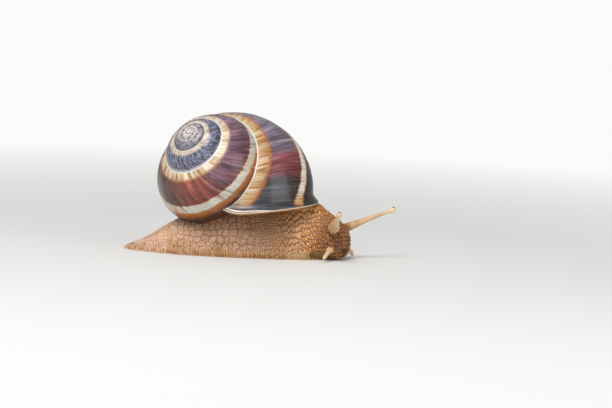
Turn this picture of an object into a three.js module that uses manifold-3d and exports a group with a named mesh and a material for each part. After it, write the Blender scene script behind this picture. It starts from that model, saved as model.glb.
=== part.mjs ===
// A crawling banded land snail, life size, in millimetres: +X forward, +Y to its left, +Z up.
// The origin lies on the flat of the sole, under the middle of the foot.
// The shell is a right-handed spiral of growing oval sections, hollow behind its mouth.
// The flesh is one loft along the back, with eye stalks, feelers and mouth lobes let into it,
// and thin cuts part it where an anatomist would name its regions.
import * as THREE from "three";
import { mergeVertices } from "three/addons/utils/BufferGeometryUtils.js";
import Module from "manifold-3d";

const wasm = await Module();
wasm.setup();

const degrees = Math.PI / 180;
const gap = 0.25; // the thin cut between two neighbouring pieces
const sliver = 0.008; // edges shorter than this aren't kept

// ---------------------------------------------------------------- driving dimensions: shell
const spireTip = new THREE.Vector3(-12.3, -11.0, 33.1); // where the spiral's axis starts
const axisAzimuth = -127.9; // the spire points back and to the right, in degrees from +X towards +Y
const axisElevation = 40.3;
const mouthAngle = 125.6; // where round the axis the upper lip ends
const shellTurns = 4.85;
const ringRadius = 12.47; // from the axis to the middle of the last oval
const ringRate = 0.501; // natural growth of that radius in one turn
const ringDrop = 26.1; // from the spiral's tip down to the middle of the last oval
const dropRate = 0.711;
const ovalHalfWidth = 12.16;
const ovalHalfHeight = 15.15;
const ovalRate = 0.458;
const ovalTilt = 30.4; // degrees that the oval's long axis leans
const mouthSink = 1.97; // towards the mouth the whorl sinks
const mouthDraw = 2.8; // and draws in
const mouthSpan = 0.22; // over this part of a turn
const baseHollow = 0.3; // towards the axis the base is this much as hollow as the oval is
const axisClear = 0.5; // no section comes nearer to the axis than this, at the mouth
const pillarTaper = 0.06; // the pillar on the axis is a slender cone
const pillarBase = -28.0; // it ends over the mouth
const shellWall = 0.9;
const lipHeight = 1.3;
const lipFlare = 0.8; // the lip turns outwards
const frontFlare = 1.0; // and most of all towards the head
const frontAngle = -68; // where round the oval the head's side is, in degrees
const frontFill = 1.3; // the whorl is fuller there, too, over the last stretch
const fillStart = 0.14;
const fillEnd = 0.42;
const flareReach = 3.4; // the flare grows over this last height

// The mouth of the shell lies in one plane, which rises a little towards the head.
const mouthPoint = new THREE.Vector3(3.0, -13.0, 12.3);
const mouthRise = 6.8;
const curlStart = 3.0; // behind this, its edge curls up to meet the whorl before
const curlRate = 0.045; // by this much times the distance squared
const mouthNormal = new THREE.Vector3(-Math.sin(mouthRise * degrees), 0, Math.cos(mouthRise * degrees));

// Stretches of the shell, in turns back from the mouth.
const mouthStretchEnd = 0.42;
const hollowEnd = 0.4;
const spireStart = 1.0;
const tipStart = 3.1;

// ---------------------------------------------------------------- driving dimensions: flesh
const tailTipX = -30.6;
const turnStartX = 14.0; // from here the neck turns to the right
const turnRadius = 22.0;
const turnAngle = 35.0;
const soleHeight = 1.3;
const soleRim = 0.8; // the sole's rim stands out this far
const soleStart = 0.9; // distances along the back from the tail's tip
const soleFront = 58.4;
const soleRound = 6.0; // the sole's front is rounded over this length
const tailEnd = 11.2;
const neckStart = 45.0;
const headStart = 56.8;
const collarDepth = 0.55; // the mantle's rolled edge hangs this far below the shell's mouth

// The back's stations: distance from the tail's tip, half width, height of the back, height of the
// underside, height of the widest line, and how square the arch is.
const stations = [
  { at: 0.0, half: 0.5, high: 0.8, low: 0, wide: 0, square: 1.8 },
  { at: 3.7, half: 2.9, high: 2.1, low: 0, wide: 0, square: 1.8 },
  { at: 7.5, half: 5.2, high: 4.0, low: 0, wide: 0, square: 1.75 },
  { at: 11.2, half: 7.1, high: 6.5, low: 0, wide: 0, square: 1.75 },
  { at: 15.0, half: 8.7, high: 8.8, low: 0, wide: 0, square: 1.75 },
  { at: 20.0, half: 9.8, high: 11.2, low: 0, wide: 0, square: 1.8 },
  { at: 28.0, half: 10.4, high: 14.6, low: 0, wide: 0, square: 1.85 },
  { at: 40.0, half: 10.2, high: 16.4, low: 0, wide: 0, square: 1.9 },
  { at: 48.0, half: 9.3, high: 16.4, low: 0, wide: 0, square: 1.9 },
  { at: 53.5, half: 8.0, high: 15.0, low: 0, wide: 0.6, square: 1.9 },
  { at: 57.5, half: 6.6, high: 12.4, low: 0.2, wide: 2.6, square: 1.95 },
  { at: 60.0, half: 5.6, high: 11.0, low: 0.3, wide: 3.6, square: 2.05 },
  { at: 61.6, half: 4.6, high: 9.9, low: 0.5, wide: 4.0, square: 2.15 },
  { at: 62.6, half: 3.5, high: 8.7, low: 1.2, wide: 4.2, square: 2.1 },
  { at: 63.1, half: 2.2, high: 7.2, low: 2.4, wide: 4.4, square: 2.0 },
];

// Eye stalks and feelers: root, the point that bends them, and tip. The right stalk is drawn in a
// little, which keeps it stout for a share of its length.
const stalks = {
  left: { root: [29.4, -3.6, 8.0], bend: [36.0, -0.4, 10.8], tip: [44.2, 1.0, 13.9], stout: 0 },
  right: { root: [27.0, -7.4, 8.0], bend: [27.6, -13.2, 10.4], tip: [28.7, -21.2, 14.2], stout: 0.28 },
};
const stalkRootRadius = 1.6;
const stalkNeckRadius = 0.5;
const stalkBulbRadius = 0.8;
const stalkBaseShare = 0.3; // of the stalk's length
const stalkBulbShare = 0.93;
const eyeRadius = 0.34;
const eyeGap = 0.06;
const eyeShare = 0.955; // of the stalk's length
const eyeLift = 0.58;
const feelers = {
  left: { root: [30.4, -3.8, 3.4], bend: [32.3, -2.2, 2.5], tip: [33.0, -0.4, 0.85] },
  right: { root: [27.3, -7.6, 3.4], bend: [25.9, -11.2, 2.6], tip: [24.9, -13.2, 0.95] },
};
const feelerRootRadius = 0.8;
const feelerTipRadius = 0.48;
const lobeRadius = 1.2;
const lobeSpread = 1.05;
const lobePlace = { at: 61.9, high: 1.9 };

// ---------------------------------------------------------------- how fine the facets are
const mouthSteps = 8;
const whorlStep = 1 / 24; // turns
const spireStep = 1 / 20;
const tipStep = 1 / 12;
const whorlSides = 26;
const spireSides = 22;
const tipSides = 14;
const bodySides = 26;
const bodyStep = 2.5;
const stalkSides = 8;
const stalkSteps = 11;
const feelerSteps = 4;

// ---------------------------------------------------------------- closed solids
// A closed three.js geometry becomes a solid once its shared vertices are merged.
function solidOf(geometry) {
  geometry.deleteAttribute("normal");
  geometry.deleteAttribute("uv");
  const merged = mergeVertices(geometry, 1e-5);
  return new wasm.Manifold(
    new wasm.Mesh({
      numProp: 3,
      vertProperties: merged.attributes.position.array,
      triVerts: new Uint32Array(merged.index.array),
    }),
  );
}

// Joins rings of points into one closed solid, with a fan over each end.
function loft(rings) {
  const sides = rings[0].length;
  const lastRow = (rings.length - 1) * sides;
  const middleOf = (ring) =>
    ring.reduce((sum, point) => sum.add(point), new THREE.Vector3()).divideScalar(sides);
  const points = [...rings.flat(), middleOf(rings[0]), middleOf(rings.at(-1))];
  const startHub = lastRow + sides;
  const endHub = startHub + 1;
  const faces = [];
  for (let j = 0; j < sides; j++) {
    const k = (j + 1) % sides;
    faces.push([startHub, k, j], [endHub, lastRow + j, lastRow + k]);
    for (let row = 0; row < lastRow; row += sides) {
      const next = row + sides;
      faces.push([row + j, row + k, next + k], [row + j, next + k, next + j]);
    }
  }
  const geometry = new THREE.BufferGeometry().setFromPoints(points);
  geometry.setIndex(faces.flat());
  const made = solidOf(geometry);
  if (made.volume() > 0) return made;
  geometry.setIndex(faces.map(([a, b, c]) => [a, c, b]).flat());
  return solidOf(geometry);
}

const union = (solids) => solids.reduce((sum, solid) => sum.add(solid));

// The part of a solid on the side of a plane that the normal points to.
const keepSide = (solid, normal, point) => solid.trimByPlane(normal.toArray(), normal.dot(point));

// A cut can leave crumbs beside the piece and slivers along its edges: the piece is the largest
// body, with the slivers closed up.
function largest(solid) {
  const body = solid.decompose().reduce((best, next) => (next.volume() > best.volume() ? next : best));
  return body.simplify(sliver);
}

// ---------------------------------------------------------------- the shell's spiral
const axis = new THREE.Vector3(
  Math.cos(axisElevation * degrees) * Math.cos(axisAzimuth * degrees),
  Math.cos(axisElevation * degrees) * Math.sin(axisAzimuth * degrees),
  Math.sin(axisElevation * degrees),
);
const across = new THREE.Vector3().crossVectors(axis, new THREE.Vector3(0, 0, 1)).normalize();
const uphill = new THREE.Vector3().crossVectors(axis, across);

// A place by its turns back from the mouth, its distance from the axis and its height over the tip.
function aroundAxis(turn, radius, height) {
  const angle = (mouthAngle + 360 * turn) * degrees;
  return spireTip
    .clone()
    .addScaledVector(across, radius * Math.cos(angle))
    .addScaledVector(uphill, radius * Math.sin(angle))
    .addScaledVector(axis, height);
}

// How far an angle round the oval looks towards the head: 1 straight at it, 0 from square to it.
const towardsHead = (angle) => Math.max(0, Math.cos(angle - frontAngle * degrees)) ** 3;

// A point of the whorl's skin: an oval section, drawn in by the inset, carried round the axis.
function shellPoint(turn, angle, drawnIn) {
  const fill = frontFill * towardsHead(angle) * (1 - THREE.MathUtils.smoothstep(turn, fillStart, fillEnd));
  const inset = drawnIn - fill;
  const nearMouth = Math.exp(-((Math.max(turn, 0) / mouthSpan) ** 2));
  const radius = ringRadius * Math.exp(-ringRate * turn) - mouthDraw * nearMouth;
  const drop = ringDrop * Math.exp(-dropRate * turn) + mouthSink * nearMouth;
  const size = Math.exp(-ovalRate * turn);
  const [halfWidth, halfHeight] = [ovalHalfWidth * size - inset, ovalHalfHeight * size - inset];
  const [x, y] = [halfWidth * Math.cos(angle), halfHeight * Math.sin(angle)];
  const [c, s] = [Math.cos(ovalTilt * degrees), Math.sin(ovalTilt * degrees)];
  const outward = radius + x * c - y * s;
  const lowest = -Math.hypot(halfWidth * s, halfHeight * c);
  const lowestAngle = Math.PI + Math.atan2(halfHeight * c, halfWidth * s);
  const innermostAngle = Math.PI - Math.atan2(halfHeight * s, halfWidth * c);
  const underInside = angle > innermostAngle && angle < lowestAngle;
  const height = x * s + y * c;
  const filled = underInside ? THREE.MathUtils.lerp(lowest, height, baseHollow) : height;
  return aroundAxis(turn, Math.max(outward, axisClear * size), filled - drop);
}

function shellRing(turn, sides, inset) {
  const ring = [];
  for (let i = 0; i < sides; i++) ring.push(shellPoint(turn, (2 * Math.PI * i) / sides, inset));
  return ring;
}

// The whorl between two places, in lengths of half a turn, each of which is a simple bent horn.
function whorl(from, to, sides, step, inset = 0) {
  const lengths = [];
  const steps = Math.max(2, Math.round((to - from) / step));
  const longest = Math.round(0.5 / step);
  for (let first = 0; first < steps; first += longest) {
    const last = Math.min(steps, first + longest);
    const rings = [];
    for (let i = first; i <= last; i++) rings.push(shellRing(from + ((to - from) * i) / steps, sides, inset));
    lengths.push(loft(rings));
  }
  return union(lengths);
}

// The pillar that the whorls wind round.
function pillar(top, base, inset = 0) {
  const ringAt = (height) => {
    const ring = [];
    for (let i = 0; i < 12; i++) ring.push(aroundAxis(i / 12, -pillarTaper * height - inset, height));
    return ring;
  };
  return loft([ringAt(top), ringAt(base)]);
}

// ---------------------------------------------------------------- the shell's mouth
function flareAt(height, angle) {
  const above = THREE.MathUtils.smoothstep(height, 0, flareReach);
  return (lipFlare + frontFlare * towardsHead(angle)) * (1 - above) ** 1.5;
}

// How far a point lies over the mouth's edge.
function overMouth(point) {
  const curl = curlRate * Math.max(0, curlStart - point.x) ** 2;
  return point.sub(mouthPoint).dot(mouthNormal) - curl;
}

// Where a line of growth meets the level at a height over the mouth, found by halving.
function mouthTurn(angle, inset, height) {
  let [below, above] = [-0.1 + height / 500, 0.5];
  for (let i = 0; i < 40; i++) {
    const middle = (below + above) / 2;
    if (overMouth(shellPoint(middle, angle, inset)) < height) below = middle;
    else above = middle;
  }
  return (below + above) / 2;
}

// A ring of the whorl's skin at one height over the mouth, where the lip flares.
function mouthRing(height, inset, flared = height) {
  const ring = [];
  for (let i = 0; i < whorlSides; i++) {
    const angle = (2 * Math.PI * i) / whorlSides;
    const drawn = inset - flareAt(flared, angle);
    ring.push(shellPoint(mouthTurn(angle, drawn, height), angle, drawn));
  }
  return ring;
}

// Rings that swing from a height over the mouth to a plain section further back.
function swingRings(height, end, inset) {
  const rings = [];
  for (let row = 1; row <= mouthSteps; row++) {
    const ring = [];
    for (let i = 0; i < whorlSides; i++) {
      const angle = (2 * Math.PI * i) / whorlSides;
      const start = mouthTurn(angle, inset, height);
      ring.push(shellPoint(start + ((end - start) * row) / mouthSteps, angle, inset));
    }
    rings.push(ring);
  }
  return rings;
}

// The hollow behind the mouth, with a wall left round it, or the flesh that fills it.
function hollow(inset, heights, end) {
  const rings = heights.map((height) => mouthRing(height, inset));
  return loft([...rings, ...swingRings(heights.at(-1), end, inset)]);
}

// ---------------------------------------------------------------- shell pieces
const tipSolid = largest(whorl(tipStart, shellTurns, tipSides, tipStep).add(pillar(-0.6, -5)));
const tipRoom = whorl(tipStart - 0.02, shellTurns, tipSides, tipStep, -gap).add(pillar(-0.6, -5, -gap));

const spireWhorls = whorl(spireStart, tipStart + 0.1, spireSides, spireStep).add(pillar(-3, -20));
const spireSolid = largest(spireWhorls.subtract(tipRoom));
const spireRoom = whorl(spireStart - 0.006, tipStart + 0.1, spireSides, spireStep, -gap)
  .add(pillar(-3, -20, -gap))
  .add(tipRoom);

const flareHeights = [lipHeight, (lipHeight + flareReach) / 2, flareReach];
const mouthOutside = hollow(0, flareHeights, mouthStretchEnd);
const mouthInside = hollow(shellWall, [-1, 0, ...flareHeights], hollowEnd);
const lastWhorl = (inset) => whorl(mouthStretchEnd, spireStart, whorlSides, whorlStep, inset);
const bodyWhorlSolid = largest(
  mouthOutside
    .subtract(mouthInside)
    .add(lastWhorl(0))
    .add(pillar(-16, pillarBase))
    .subtract(spireRoom),
);

const lipHeights = [0, lipHeight / 2, lipHeight - gap];
const lipOutside = loft(lipHeights.map((height) => mouthRing(height, 0)));
const innerWhorls = lastWhorl(-gap).add(spireRoom);
const pillarRoom = pillar(-16, pillarBase - gap, -gap);
const lipSolid = largest(
  lipOutside
    .subtract(mouthInside)
    .subtract(innerWhorls)
    .subtract(pillarRoom),
);

// ---------------------------------------------------------------- the back of the animal
// The back's line seen from above: straight, then an arc to the right, then straight to the face.
function backLine(at) {
  const straight = turnStartX - tailTipX;
  const arc = turnRadius * turnAngle * degrees;
  const turned = THREE.MathUtils.clamp(at - straight, 0, arc) / turnRadius;
  const past = Math.max(0, at - straight - arc);
  const forward = new THREE.Vector3(Math.cos(turned), -Math.sin(turned), 0);
  const place = new THREE.Vector3(
    tailTipX + Math.min(at, straight) + turnRadius * Math.sin(turned),
    -turnRadius * (1 - Math.cos(turned)),
    0,
  );
  return { place: place.addScaledVector(forward, past), forward };
}

// The back's measures at any distance, on a smooth curve through the stations.
function measureAt(at) {
  const found = stations.findIndex((station) => station.at > at);
  const next = found < 0 ? stations.length - 1 : Math.max(found, 1);
  const around = [next - 2, next - 1, next, next + 1].map(
    (i) => stations[THREE.MathUtils.clamp(i, 0, stations.length - 1)],
  );
  const length = around[2].at - around[1].at;
  const t = (at - around[1].at) / length;
  const slope = (name, i) =>
    ((around[i + 1][name] - around[i - 1][name]) / (around[i + 1].at - around[i - 1].at)) * length;
  const value = (name) =>
    around[1][name] * (1 + 2 * t) * (1 - t) ** 2 +
    slope(name, 1) * t * (1 - t) ** 2 +
    around[2][name] * t * t * (3 - 2 * t) +
    slope(name, 2) * t * t * (t - 1);
  return Object.fromEntries(["half", "high", "low", "wide", "square"].map((name) => [name, value(name)]));
}

// One arch across the back: a superellipse over its widest line, and under it down to the underside.
function backRing(at) {
  const { place, forward } = backLine(at);
  const { half, high, low, wide, square } = measureAt(at);
  const left = new THREE.Vector3(-forward.y, forward.x, 0);
  const power = 2 / square;
  const ring = [];
  for (let i = 0; i < bodySides; i++) {
    const angle = (2 * Math.PI * (i + 0.5)) / bodySides;
    const out = Math.sign(Math.cos(angle)) * Math.abs(Math.cos(angle)) ** power;
    const up = Math.abs(Math.sin(angle)) ** power;
    const height = Math.sin(angle) > 0 ? wide + (high - wide) * up : wide - (wide - low) * up;
    ring.push(place.clone().addScaledVector(left, out * half).setZ(Math.max(0, height)));
  }
  return ring;
}

function backLoft() {
  const end = stations.at(-1).at;
  const steps = Math.round(end / bodyStep);
  const rings = [];
  for (let i = 0; i < steps; i++) rings.push(backRing((end * i) / steps));
  rings.push(backRing(stations.at(-2).at), backRing(end));
  return loft(rings);
}

// A flat band with a rounded rim, widest a third of the way up.
function soleRing(at, shrink) {
  const { place, forward } = backLine(at);
  const { half, high } = measureAt(at);
  const left = new THREE.Vector3(-forward.y, forward.x, 0);
  const rim = (half + soleRim) * shrink;
  const top = Math.min(soleHeight, high) - gap;
  const corners = [
    [rim - soleRim, 0],
    [rim, top / 3],
    [rim - soleRim / 4, 0.8 * top],
    [rim - soleRim, top],
  ];
  const ring = corners.map(([out, high]) => place.clone().addScaledVector(left, out).setZ(high));
  const mirrored = corners.map(([out, high]) => place.clone().addScaledVector(left, -out).setZ(high));
  return [...ring, ...mirrored.reverse()];
}

// The sole follows the same line and is rounded in front.
function soleLoft() {
  const steps = Math.round((soleFront - soleStart) / bodyStep);
  const rings = [];
  for (let i = 0; i <= steps; i++) {
    const at = THREE.MathUtils.lerp(soleStart, soleFront, i / steps);
    const rounding = THREE.MathUtils.clamp((at - soleFront + soleRound) / soleRound, 0, 0.985);
    rings.push(soleRing(at, Math.sqrt(1 - rounding ** 2)));
  }
  return loft(rings);
}

// Cuts straight across the back: the part in front of the cut, or behind it.
function cutAcross(solid, at, side) {
  const { place, forward } = backLine(at);
  const shifted = place.addScaledVector(forward, (side * gap) / 2);
  return keepSide(solid, forward.multiplyScalar(side), shifted);
}

// ---------------------------------------------------------------- stalks, feelers and lobes
// A round tube along a curve, with a radius that changes on the way.
function horn({ root, bend, tip }, radiusAt, steps, grow = 0) {
  const points = [root, bend, tip].map((place) => new THREE.Vector3(...place));
  const curve = new THREE.QuadraticBezierCurve3(...points);
  const rings = [];
  for (let i = 0; i <= steps; i++) {
    const share = i / steps;
    const middle = curve.getPointAt(share);
    const forward = curve.getTangentAt(share);
    const side = new THREE.Vector3(-forward.y, forward.x, 0).normalize();
    const top = new THREE.Vector3().crossVectors(forward, side);
    const radius = radiusAt(share) + grow;
    const ring = [];
    for (let j = 0; j < stalkSides; j++) {
      const angle = (2 * Math.PI * j) / stalkSides;
      const point = middle.clone().addScaledVector(side, radius * Math.cos(angle));
      ring.push(point.addScaledVector(top, radius * Math.sin(angle)));
    }
    rings.push(ring);
  }
  return { solid: loft(rings), curve };
}

// An eye stalk tapers quickly, then slowly, and ends in a small bulb.
function stalkRadius(stout) {
  return (share) => {
    const left = Math.min((1 - share) / (1 - stout), 1);
    const taper = stalkNeckRadius + (stalkRootRadius - stalkNeckRadius) * left ** 2.2;
    const bulb = THREE.MathUtils.smoothstep(share, stalkBulbShare - 0.08, stalkBulbShare);
    const nose = THREE.MathUtils.smoothstep(share, stalkBulbShare, 1);
    return THREE.MathUtils.lerp(taper, stalkBulbRadius, bulb) * Math.sqrt(1 - 0.8 * nose ** 2);
  };
}

function feelerRadius(share) {
  return THREE.MathUtils.lerp(feelerRootRadius, feelerTipRadius, share);
}

function ball(radius, place) {
  const geometry = new THREE.SphereGeometry(radius, 9, 6);
  geometry.translate(place.x, place.y, place.z);
  return solidOf(geometry);
}

// ---------------------------------------------------------------- flesh pieces
// The mantle fills the hollow of the shell and hangs a little below its edge.
const collarInset = shellWall + gap;
const collarHeights = [-collarDepth, 0, ...flareHeights];
const collarRoom = hollow(collarInset - gap, [-collarDepth - gap, ...collarHeights], hollowEnd);
const mantleSolid = largest(
  hollow(collarInset, collarHeights, hollowEnd - 0.012)
    .subtract(innerWhorls)
    .subtract(pillarRoom),
);

const shellRoom = loft([
  mouthRing(-gap, -gap, 0),
  ...flareHeights.map((height) => mouthRing(height, -gap)),
  ...swingRings(flareReach, mouthStretchEnd, -gap),
]).add(innerWhorls.add(pillarRoom));

const lobes = [-1, 1].map((side) => {
  const { place, forward } = backLine(lobePlace.at);
  const left = new THREE.Vector3(-forward.y, forward.x, 0);
  return place.addScaledVector(left, side * lobeSpread).setZ(lobePlace.high);
});
const lobeSolid = union(lobes.map((place) => ball(lobeRadius, place)));
const sockets = lobes.map((place) => ball(lobeRadius + gap, place));
for (const side of ["left", "right"]) {
  sockets.push(horn(stalks[side], stalkRadius(stalks[side].stout), stalkSteps, gap).solid);
  sockets.push(horn(feelers[side], feelerRadius, feelerSteps, gap).solid);
}
const socketRoom = union(sockets);

const up = new THREE.Vector3(0, 0, 1);
const aboveSole = keepSide(backLoft(), up, new THREE.Vector3(0, 0, soleHeight));
const flesh = aboveSole.subtract(shellRoom).subtract(collarRoom).subtract(socketRoom);
const soleSolid = largest(soleLoft().subtract(socketRoom));

// ---------------------------------------------------------------- the finished pieces
const shellBrown = "#5a3226";
const shellGrey = "#6f665f";
const lipCream = "#cbb591";
const mantleOrange = "#c08a4e";
const skinTan = "#b08a68";
const skinPale = "#c7a98c";
const skinDark = "#8f6340";
const stalkBeige = "#c3a27c";
const eyeGrey = "#5d5148";

const snail = new THREE.Group();

function addPiece(name, solid, color, roughness) {
  const { vertProperties, triVerts } = solid.getMesh();
  const geometry = new THREE.BufferGeometry();
  geometry.setAttribute("position", new THREE.BufferAttribute(vertProperties, 3));
  geometry.setIndex(new THREE.BufferAttribute(triVerts, 1));
  geometry.computeVertexNormals();
  const material = new THREE.MeshStandardMaterial({ color, roughness, metalness: 0 });
  const mesh = new THREE.Mesh(geometry, material);
  mesh.name = name;
  snail.add(mesh);
}

addPiece("shell_tip", tipSolid, shellGrey, 0.3);
addPiece("shell_spire", spireSolid, shellBrown, 0.25);
addPiece("shell_body_whorl", bodyWhorlSolid, shellBrown, 0.25);
addPiece("shell_lip", lipSolid, lipCream, 0.35);
addPiece("mantle_collar", mantleSolid, mantleOrange, 0.5);
addPiece("tail", largest(cutAcross(flesh, tailEnd, -1)), skinPale, 0.5);
addPiece("foot", largest(cutAcross(cutAcross(flesh, tailEnd, 1), neckStart, -1)), skinTan, 0.5);
addPiece("neck", largest(cutAcross(cutAcross(flesh, neckStart, 1), headStart, -1)), skinTan, 0.5);
addPiece("head", largest(cutAcross(flesh, headStart, 1)), skinDark, 0.5);
addPiece("foot_sole", soleSolid, skinPale, 0.45);
addPiece("mouth_lobes", lobeSolid, skinTan, 0.45);

for (const side of ["left", "right"]) {
  const { solid, curve } = horn(stalks[side], stalkRadius(stalks[side].stout), stalkSteps);
  const eyePlace = curve.getPointAt(eyeShare).add(new THREE.Vector3(0, 0, eyeLift));
  const withSocket = solid.subtract(ball(eyeRadius + eyeGap, eyePlace));
  const cut = (share, way) => {
    const forward = curve.getTangentAt(share).multiplyScalar(way);
    return [forward, curve.getPointAt(share).addScaledVector(forward, gap / 2)];
  };
  const bulbStart = stalkBulbShare - 0.05;
  const beyondBase = keepSide(withSocket, ...cut(stalkBaseShare, 1));
  const base = largest(keepSide(withSocket, ...cut(stalkBaseShare, -1)));
  const shaft = largest(keepSide(beyondBase, ...cut(bulbStart, -1)));
  const bulb = largest(keepSide(beyondBase, ...cut(bulbStart, 1)));
  addPiece(`eyestalk_base_${side}`, base, skinTan, 0.45);
  addPiece(`eyestalk_shaft_${side}`, shaft, stalkBeige, 0.45);
  addPiece(`eyestalk_bulb_${side}`, bulb, stalkBeige, 0.45);
  addPiece(`eye_${side}`, ball(eyeRadius, eyePlace), eyeGrey, 0.2);
  addPiece(`lower_feeler_${side}`, horn(feelers[side], feelerRadius, feelerSteps).solid, stalkBeige, 0.45);
}

export default snail;
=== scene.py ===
# %% [markdown]
# # A banded land snail, crawling
# The animal is a museum-style model at life size: a coiled shell with dark spiral bands,
# a grainy foot with its neck and head, two eye stalks and two small feelers.
# A part made in a CAD program gives every place and size. It is loaded first as a fixed frame,
# and each surface below is worked out in the same millimetres, so that nothing needs fitting.

# %% Load the frame
import functools
import math

import bmesh
import bpy
import numpy as np
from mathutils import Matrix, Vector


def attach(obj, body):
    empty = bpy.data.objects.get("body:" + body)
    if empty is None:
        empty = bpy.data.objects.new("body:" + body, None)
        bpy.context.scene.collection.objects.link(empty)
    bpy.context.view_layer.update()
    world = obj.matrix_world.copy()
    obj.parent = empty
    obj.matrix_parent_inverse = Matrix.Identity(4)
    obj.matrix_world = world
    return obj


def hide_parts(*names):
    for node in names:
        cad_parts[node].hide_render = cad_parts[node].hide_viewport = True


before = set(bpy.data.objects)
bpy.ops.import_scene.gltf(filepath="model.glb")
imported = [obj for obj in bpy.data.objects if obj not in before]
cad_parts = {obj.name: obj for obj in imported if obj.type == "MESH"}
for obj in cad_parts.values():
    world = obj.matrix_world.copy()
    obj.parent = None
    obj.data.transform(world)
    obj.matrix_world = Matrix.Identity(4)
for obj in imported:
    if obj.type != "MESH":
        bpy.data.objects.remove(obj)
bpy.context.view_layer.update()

MM = 0.001

# %% [markdown]
# ## Small tools
# A screen colour is written as a hex value, but light adds up in linear values, so one function
# turns the first into the second. Surfaces here are grids: rows and columns of points that a
# formula gives all at once, because a loop over a hundred thousand points in Python would be
# slow. Uneven surfaces come from two seeded kinds of chance: soft heights, and cells like the
# stones of a pavement.

# %% Colours and noise
NOISE_PERIOD = 251  # steps after which the soft heights repeat
CELL_PERIODS = (61, 58, 53)  # the same for the cells, in each direction
TINY, FAR = 1e-9, 9.0  # what counts as nothing, and a distance past every border
GRAZING = 0.02  # least share of a border's slope that is left where it lies flat in the surface


def linear(colour):
    """sRGB hex to linear light: c/12.92 in the dark part, ((c+0.055)/1.055)^2.4 above it.
    A plain number gives that grey, for masks."""
    if not isinstance(colour, str):
        return (colour, colour, colour, 1.0)
    c = np.array([int(colour[i:i + 2], 16) for i in (1, 3, 5)]) / 255
    lit = np.where(c <= 0.04045, c / 12.92, ((c + 0.055) / 1.055) ** 2.4)
    return (*lit.tolist(), 1.0)


def ease(x, low, high):
    """0 below low, 1 above high, and 3t^2 - 2t^3 between them."""
    t = np.clip((x - low) / (high - low), 0, 1)
    return t * t * (3 - 2 * t)


def look_up(table, x, y, shape=lambda share: share):
    """A table's value between its four nearest entries, weighted by shaped shares of x and y. Past
    its end the table starts again."""
    i, j = np.floor(x).astype(int), np.floor(y).astype(int)
    s, t = shape(x - i), shape(y - j)
    rows, columns = table.shape
    i, j, k, m = i % rows, j % columns, (i + 1) % rows, (j + 1) % columns
    near = table[i, j] * (1 - s) + table[k, j] * s
    far = table[i, m] * (1 - s) + table[k, m] * s
    return near * (1 - t) + far * t


def soft_noise(x, y, seed):
    """Seeded heights from -1 to 1 on a lattice of whole numbers, eased between its corners."""
    heights = np.random.default_rng(seed).uniform(-1, 1, (NOISE_PERIOD, NOISE_PERIOD))
    return look_up(heights, x, y, lambda share: ease(share, 0, 1))


def cells(place, normal, seed, jitter, stagger):
    """Cells round one jittered point per cube of a lattice in space, with every second row moved
    by twice the stagger: the distance along the surface from each place to the nearest border, in
    lattice steps, and a random number that each cell keeps for itself."""
    random = np.random.default_rng(seed)
    moved = random.uniform(-1, 1, (*CELL_PERIODS, 3)) * jitter
    moved[..., 0] += stagger * (-1.0) ** np.arange(CELL_PERIODS[1])[None, :, None]
    own = random.uniform(0, 1, CELL_PERIODS)
    corner = np.floor(place).astype(int)
    offsets, numbers = [], []
    for step in np.ndindex(3, 3, 3):
        cube = corner + np.array(step) - 1
        i, j, k = (cube % CELL_PERIODS).T
        offsets.append(cube + 0.5 + moved[i, j, k] - place)
        numbers.append(own[i, j, k])
    offsets, numbers = np.array(offsets), np.array(numbers)
    nearest = (offsets ** 2).sum(-1).argmin(0)
    home = np.take_along_axis(offsets, nearest[None, :, None], 0)
    step = offsets - home
    length = np.sqrt((step ** 2).sum(-1))
    border = ((offsets + home) * step).sum(-1) / 2 / np.maximum(length, TINY)
    outwards = (step * normal).sum(-1) / np.maximum(length, TINY)
    border = border / np.sqrt(np.maximum(1 - outwards ** 2, GRAZING))
    border = np.where(length <= TINY, FAR, border).min(0)
    return border, np.take_along_axis(numbers, nearest[None], 0)[0]


# %% Grids to meshes
def grid_faces(rows, columns):
    """Four-cornered faces of a tube of rows, each a closed ring of columns, and a fan at each end
    round two more points that follow the grid."""
    i, j = np.meshgrid(np.arange(rows - 1), np.arange(columns), indexing="ij")
    ring = np.arange(columns)
    after = (ring + 1) % columns
    low, high = i * columns, (i + 1) * columns
    quads = np.stack([low + j, low + after[j], high + after[j], high + j], -1)
    last, hub = (rows - 1) * columns, np.full(columns, rows * columns)
    fan = np.stack([hub, after, ring], -1)
    end = np.stack([hub + 1, last + ring, last + after], -1)
    return quads.reshape(-1, 4).tolist() + fan.tolist() + end.tolist()


def join_grids(grids):
    """Points and faces of several closed grids in one list. A grid's points are followed by the
    middles of its first and last ring, and its faces are turned over if the volume inside them
    comes out negative: a sum of (a x b) . c for three corners of each."""
    all_points, all_faces, count = [], [], 0
    for grid in grids:
        points = np.concatenate([grid.reshape(-1, 3), grid[:1].mean(1), grid[-1:].mean(1)])
        faces = grid_faces(*grid.shape[:2])
        a, b, c = (points[[face[n] for face in faces]] for n in range(3))
        way = -1 if (np.cross(a, b) * c).sum() < 0 else 1
        all_faces += [[i + count for i in face[::way]] for face in faces]
        all_points.append(points)
        count += len(points)
    return np.concatenate(all_points), all_faces


def make_object(name, grids):
    """A linked object whose smooth mesh joins grids given in millimetres."""
    points, faces = join_grids(grids)
    mesh = bpy.data.meshes.new(name)
    mesh.from_pydata((points * MM).tolist(), [], faces)
    mesh.validate()
    mesh.shade_smooth()
    made = bpy.data.objects.new(name, mesh)
    bpy.context.scene.collection.objects.link(made)
    return made


def keep_values(mesh, named):
    """Stores one number per point for each name, by which a material reads it."""
    for name, values in named.items():
        kept = mesh.attributes.new(name, "FLOAT", "POINT")
        kept.data.foreach_set("value", values.astype(np.float32))


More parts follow.
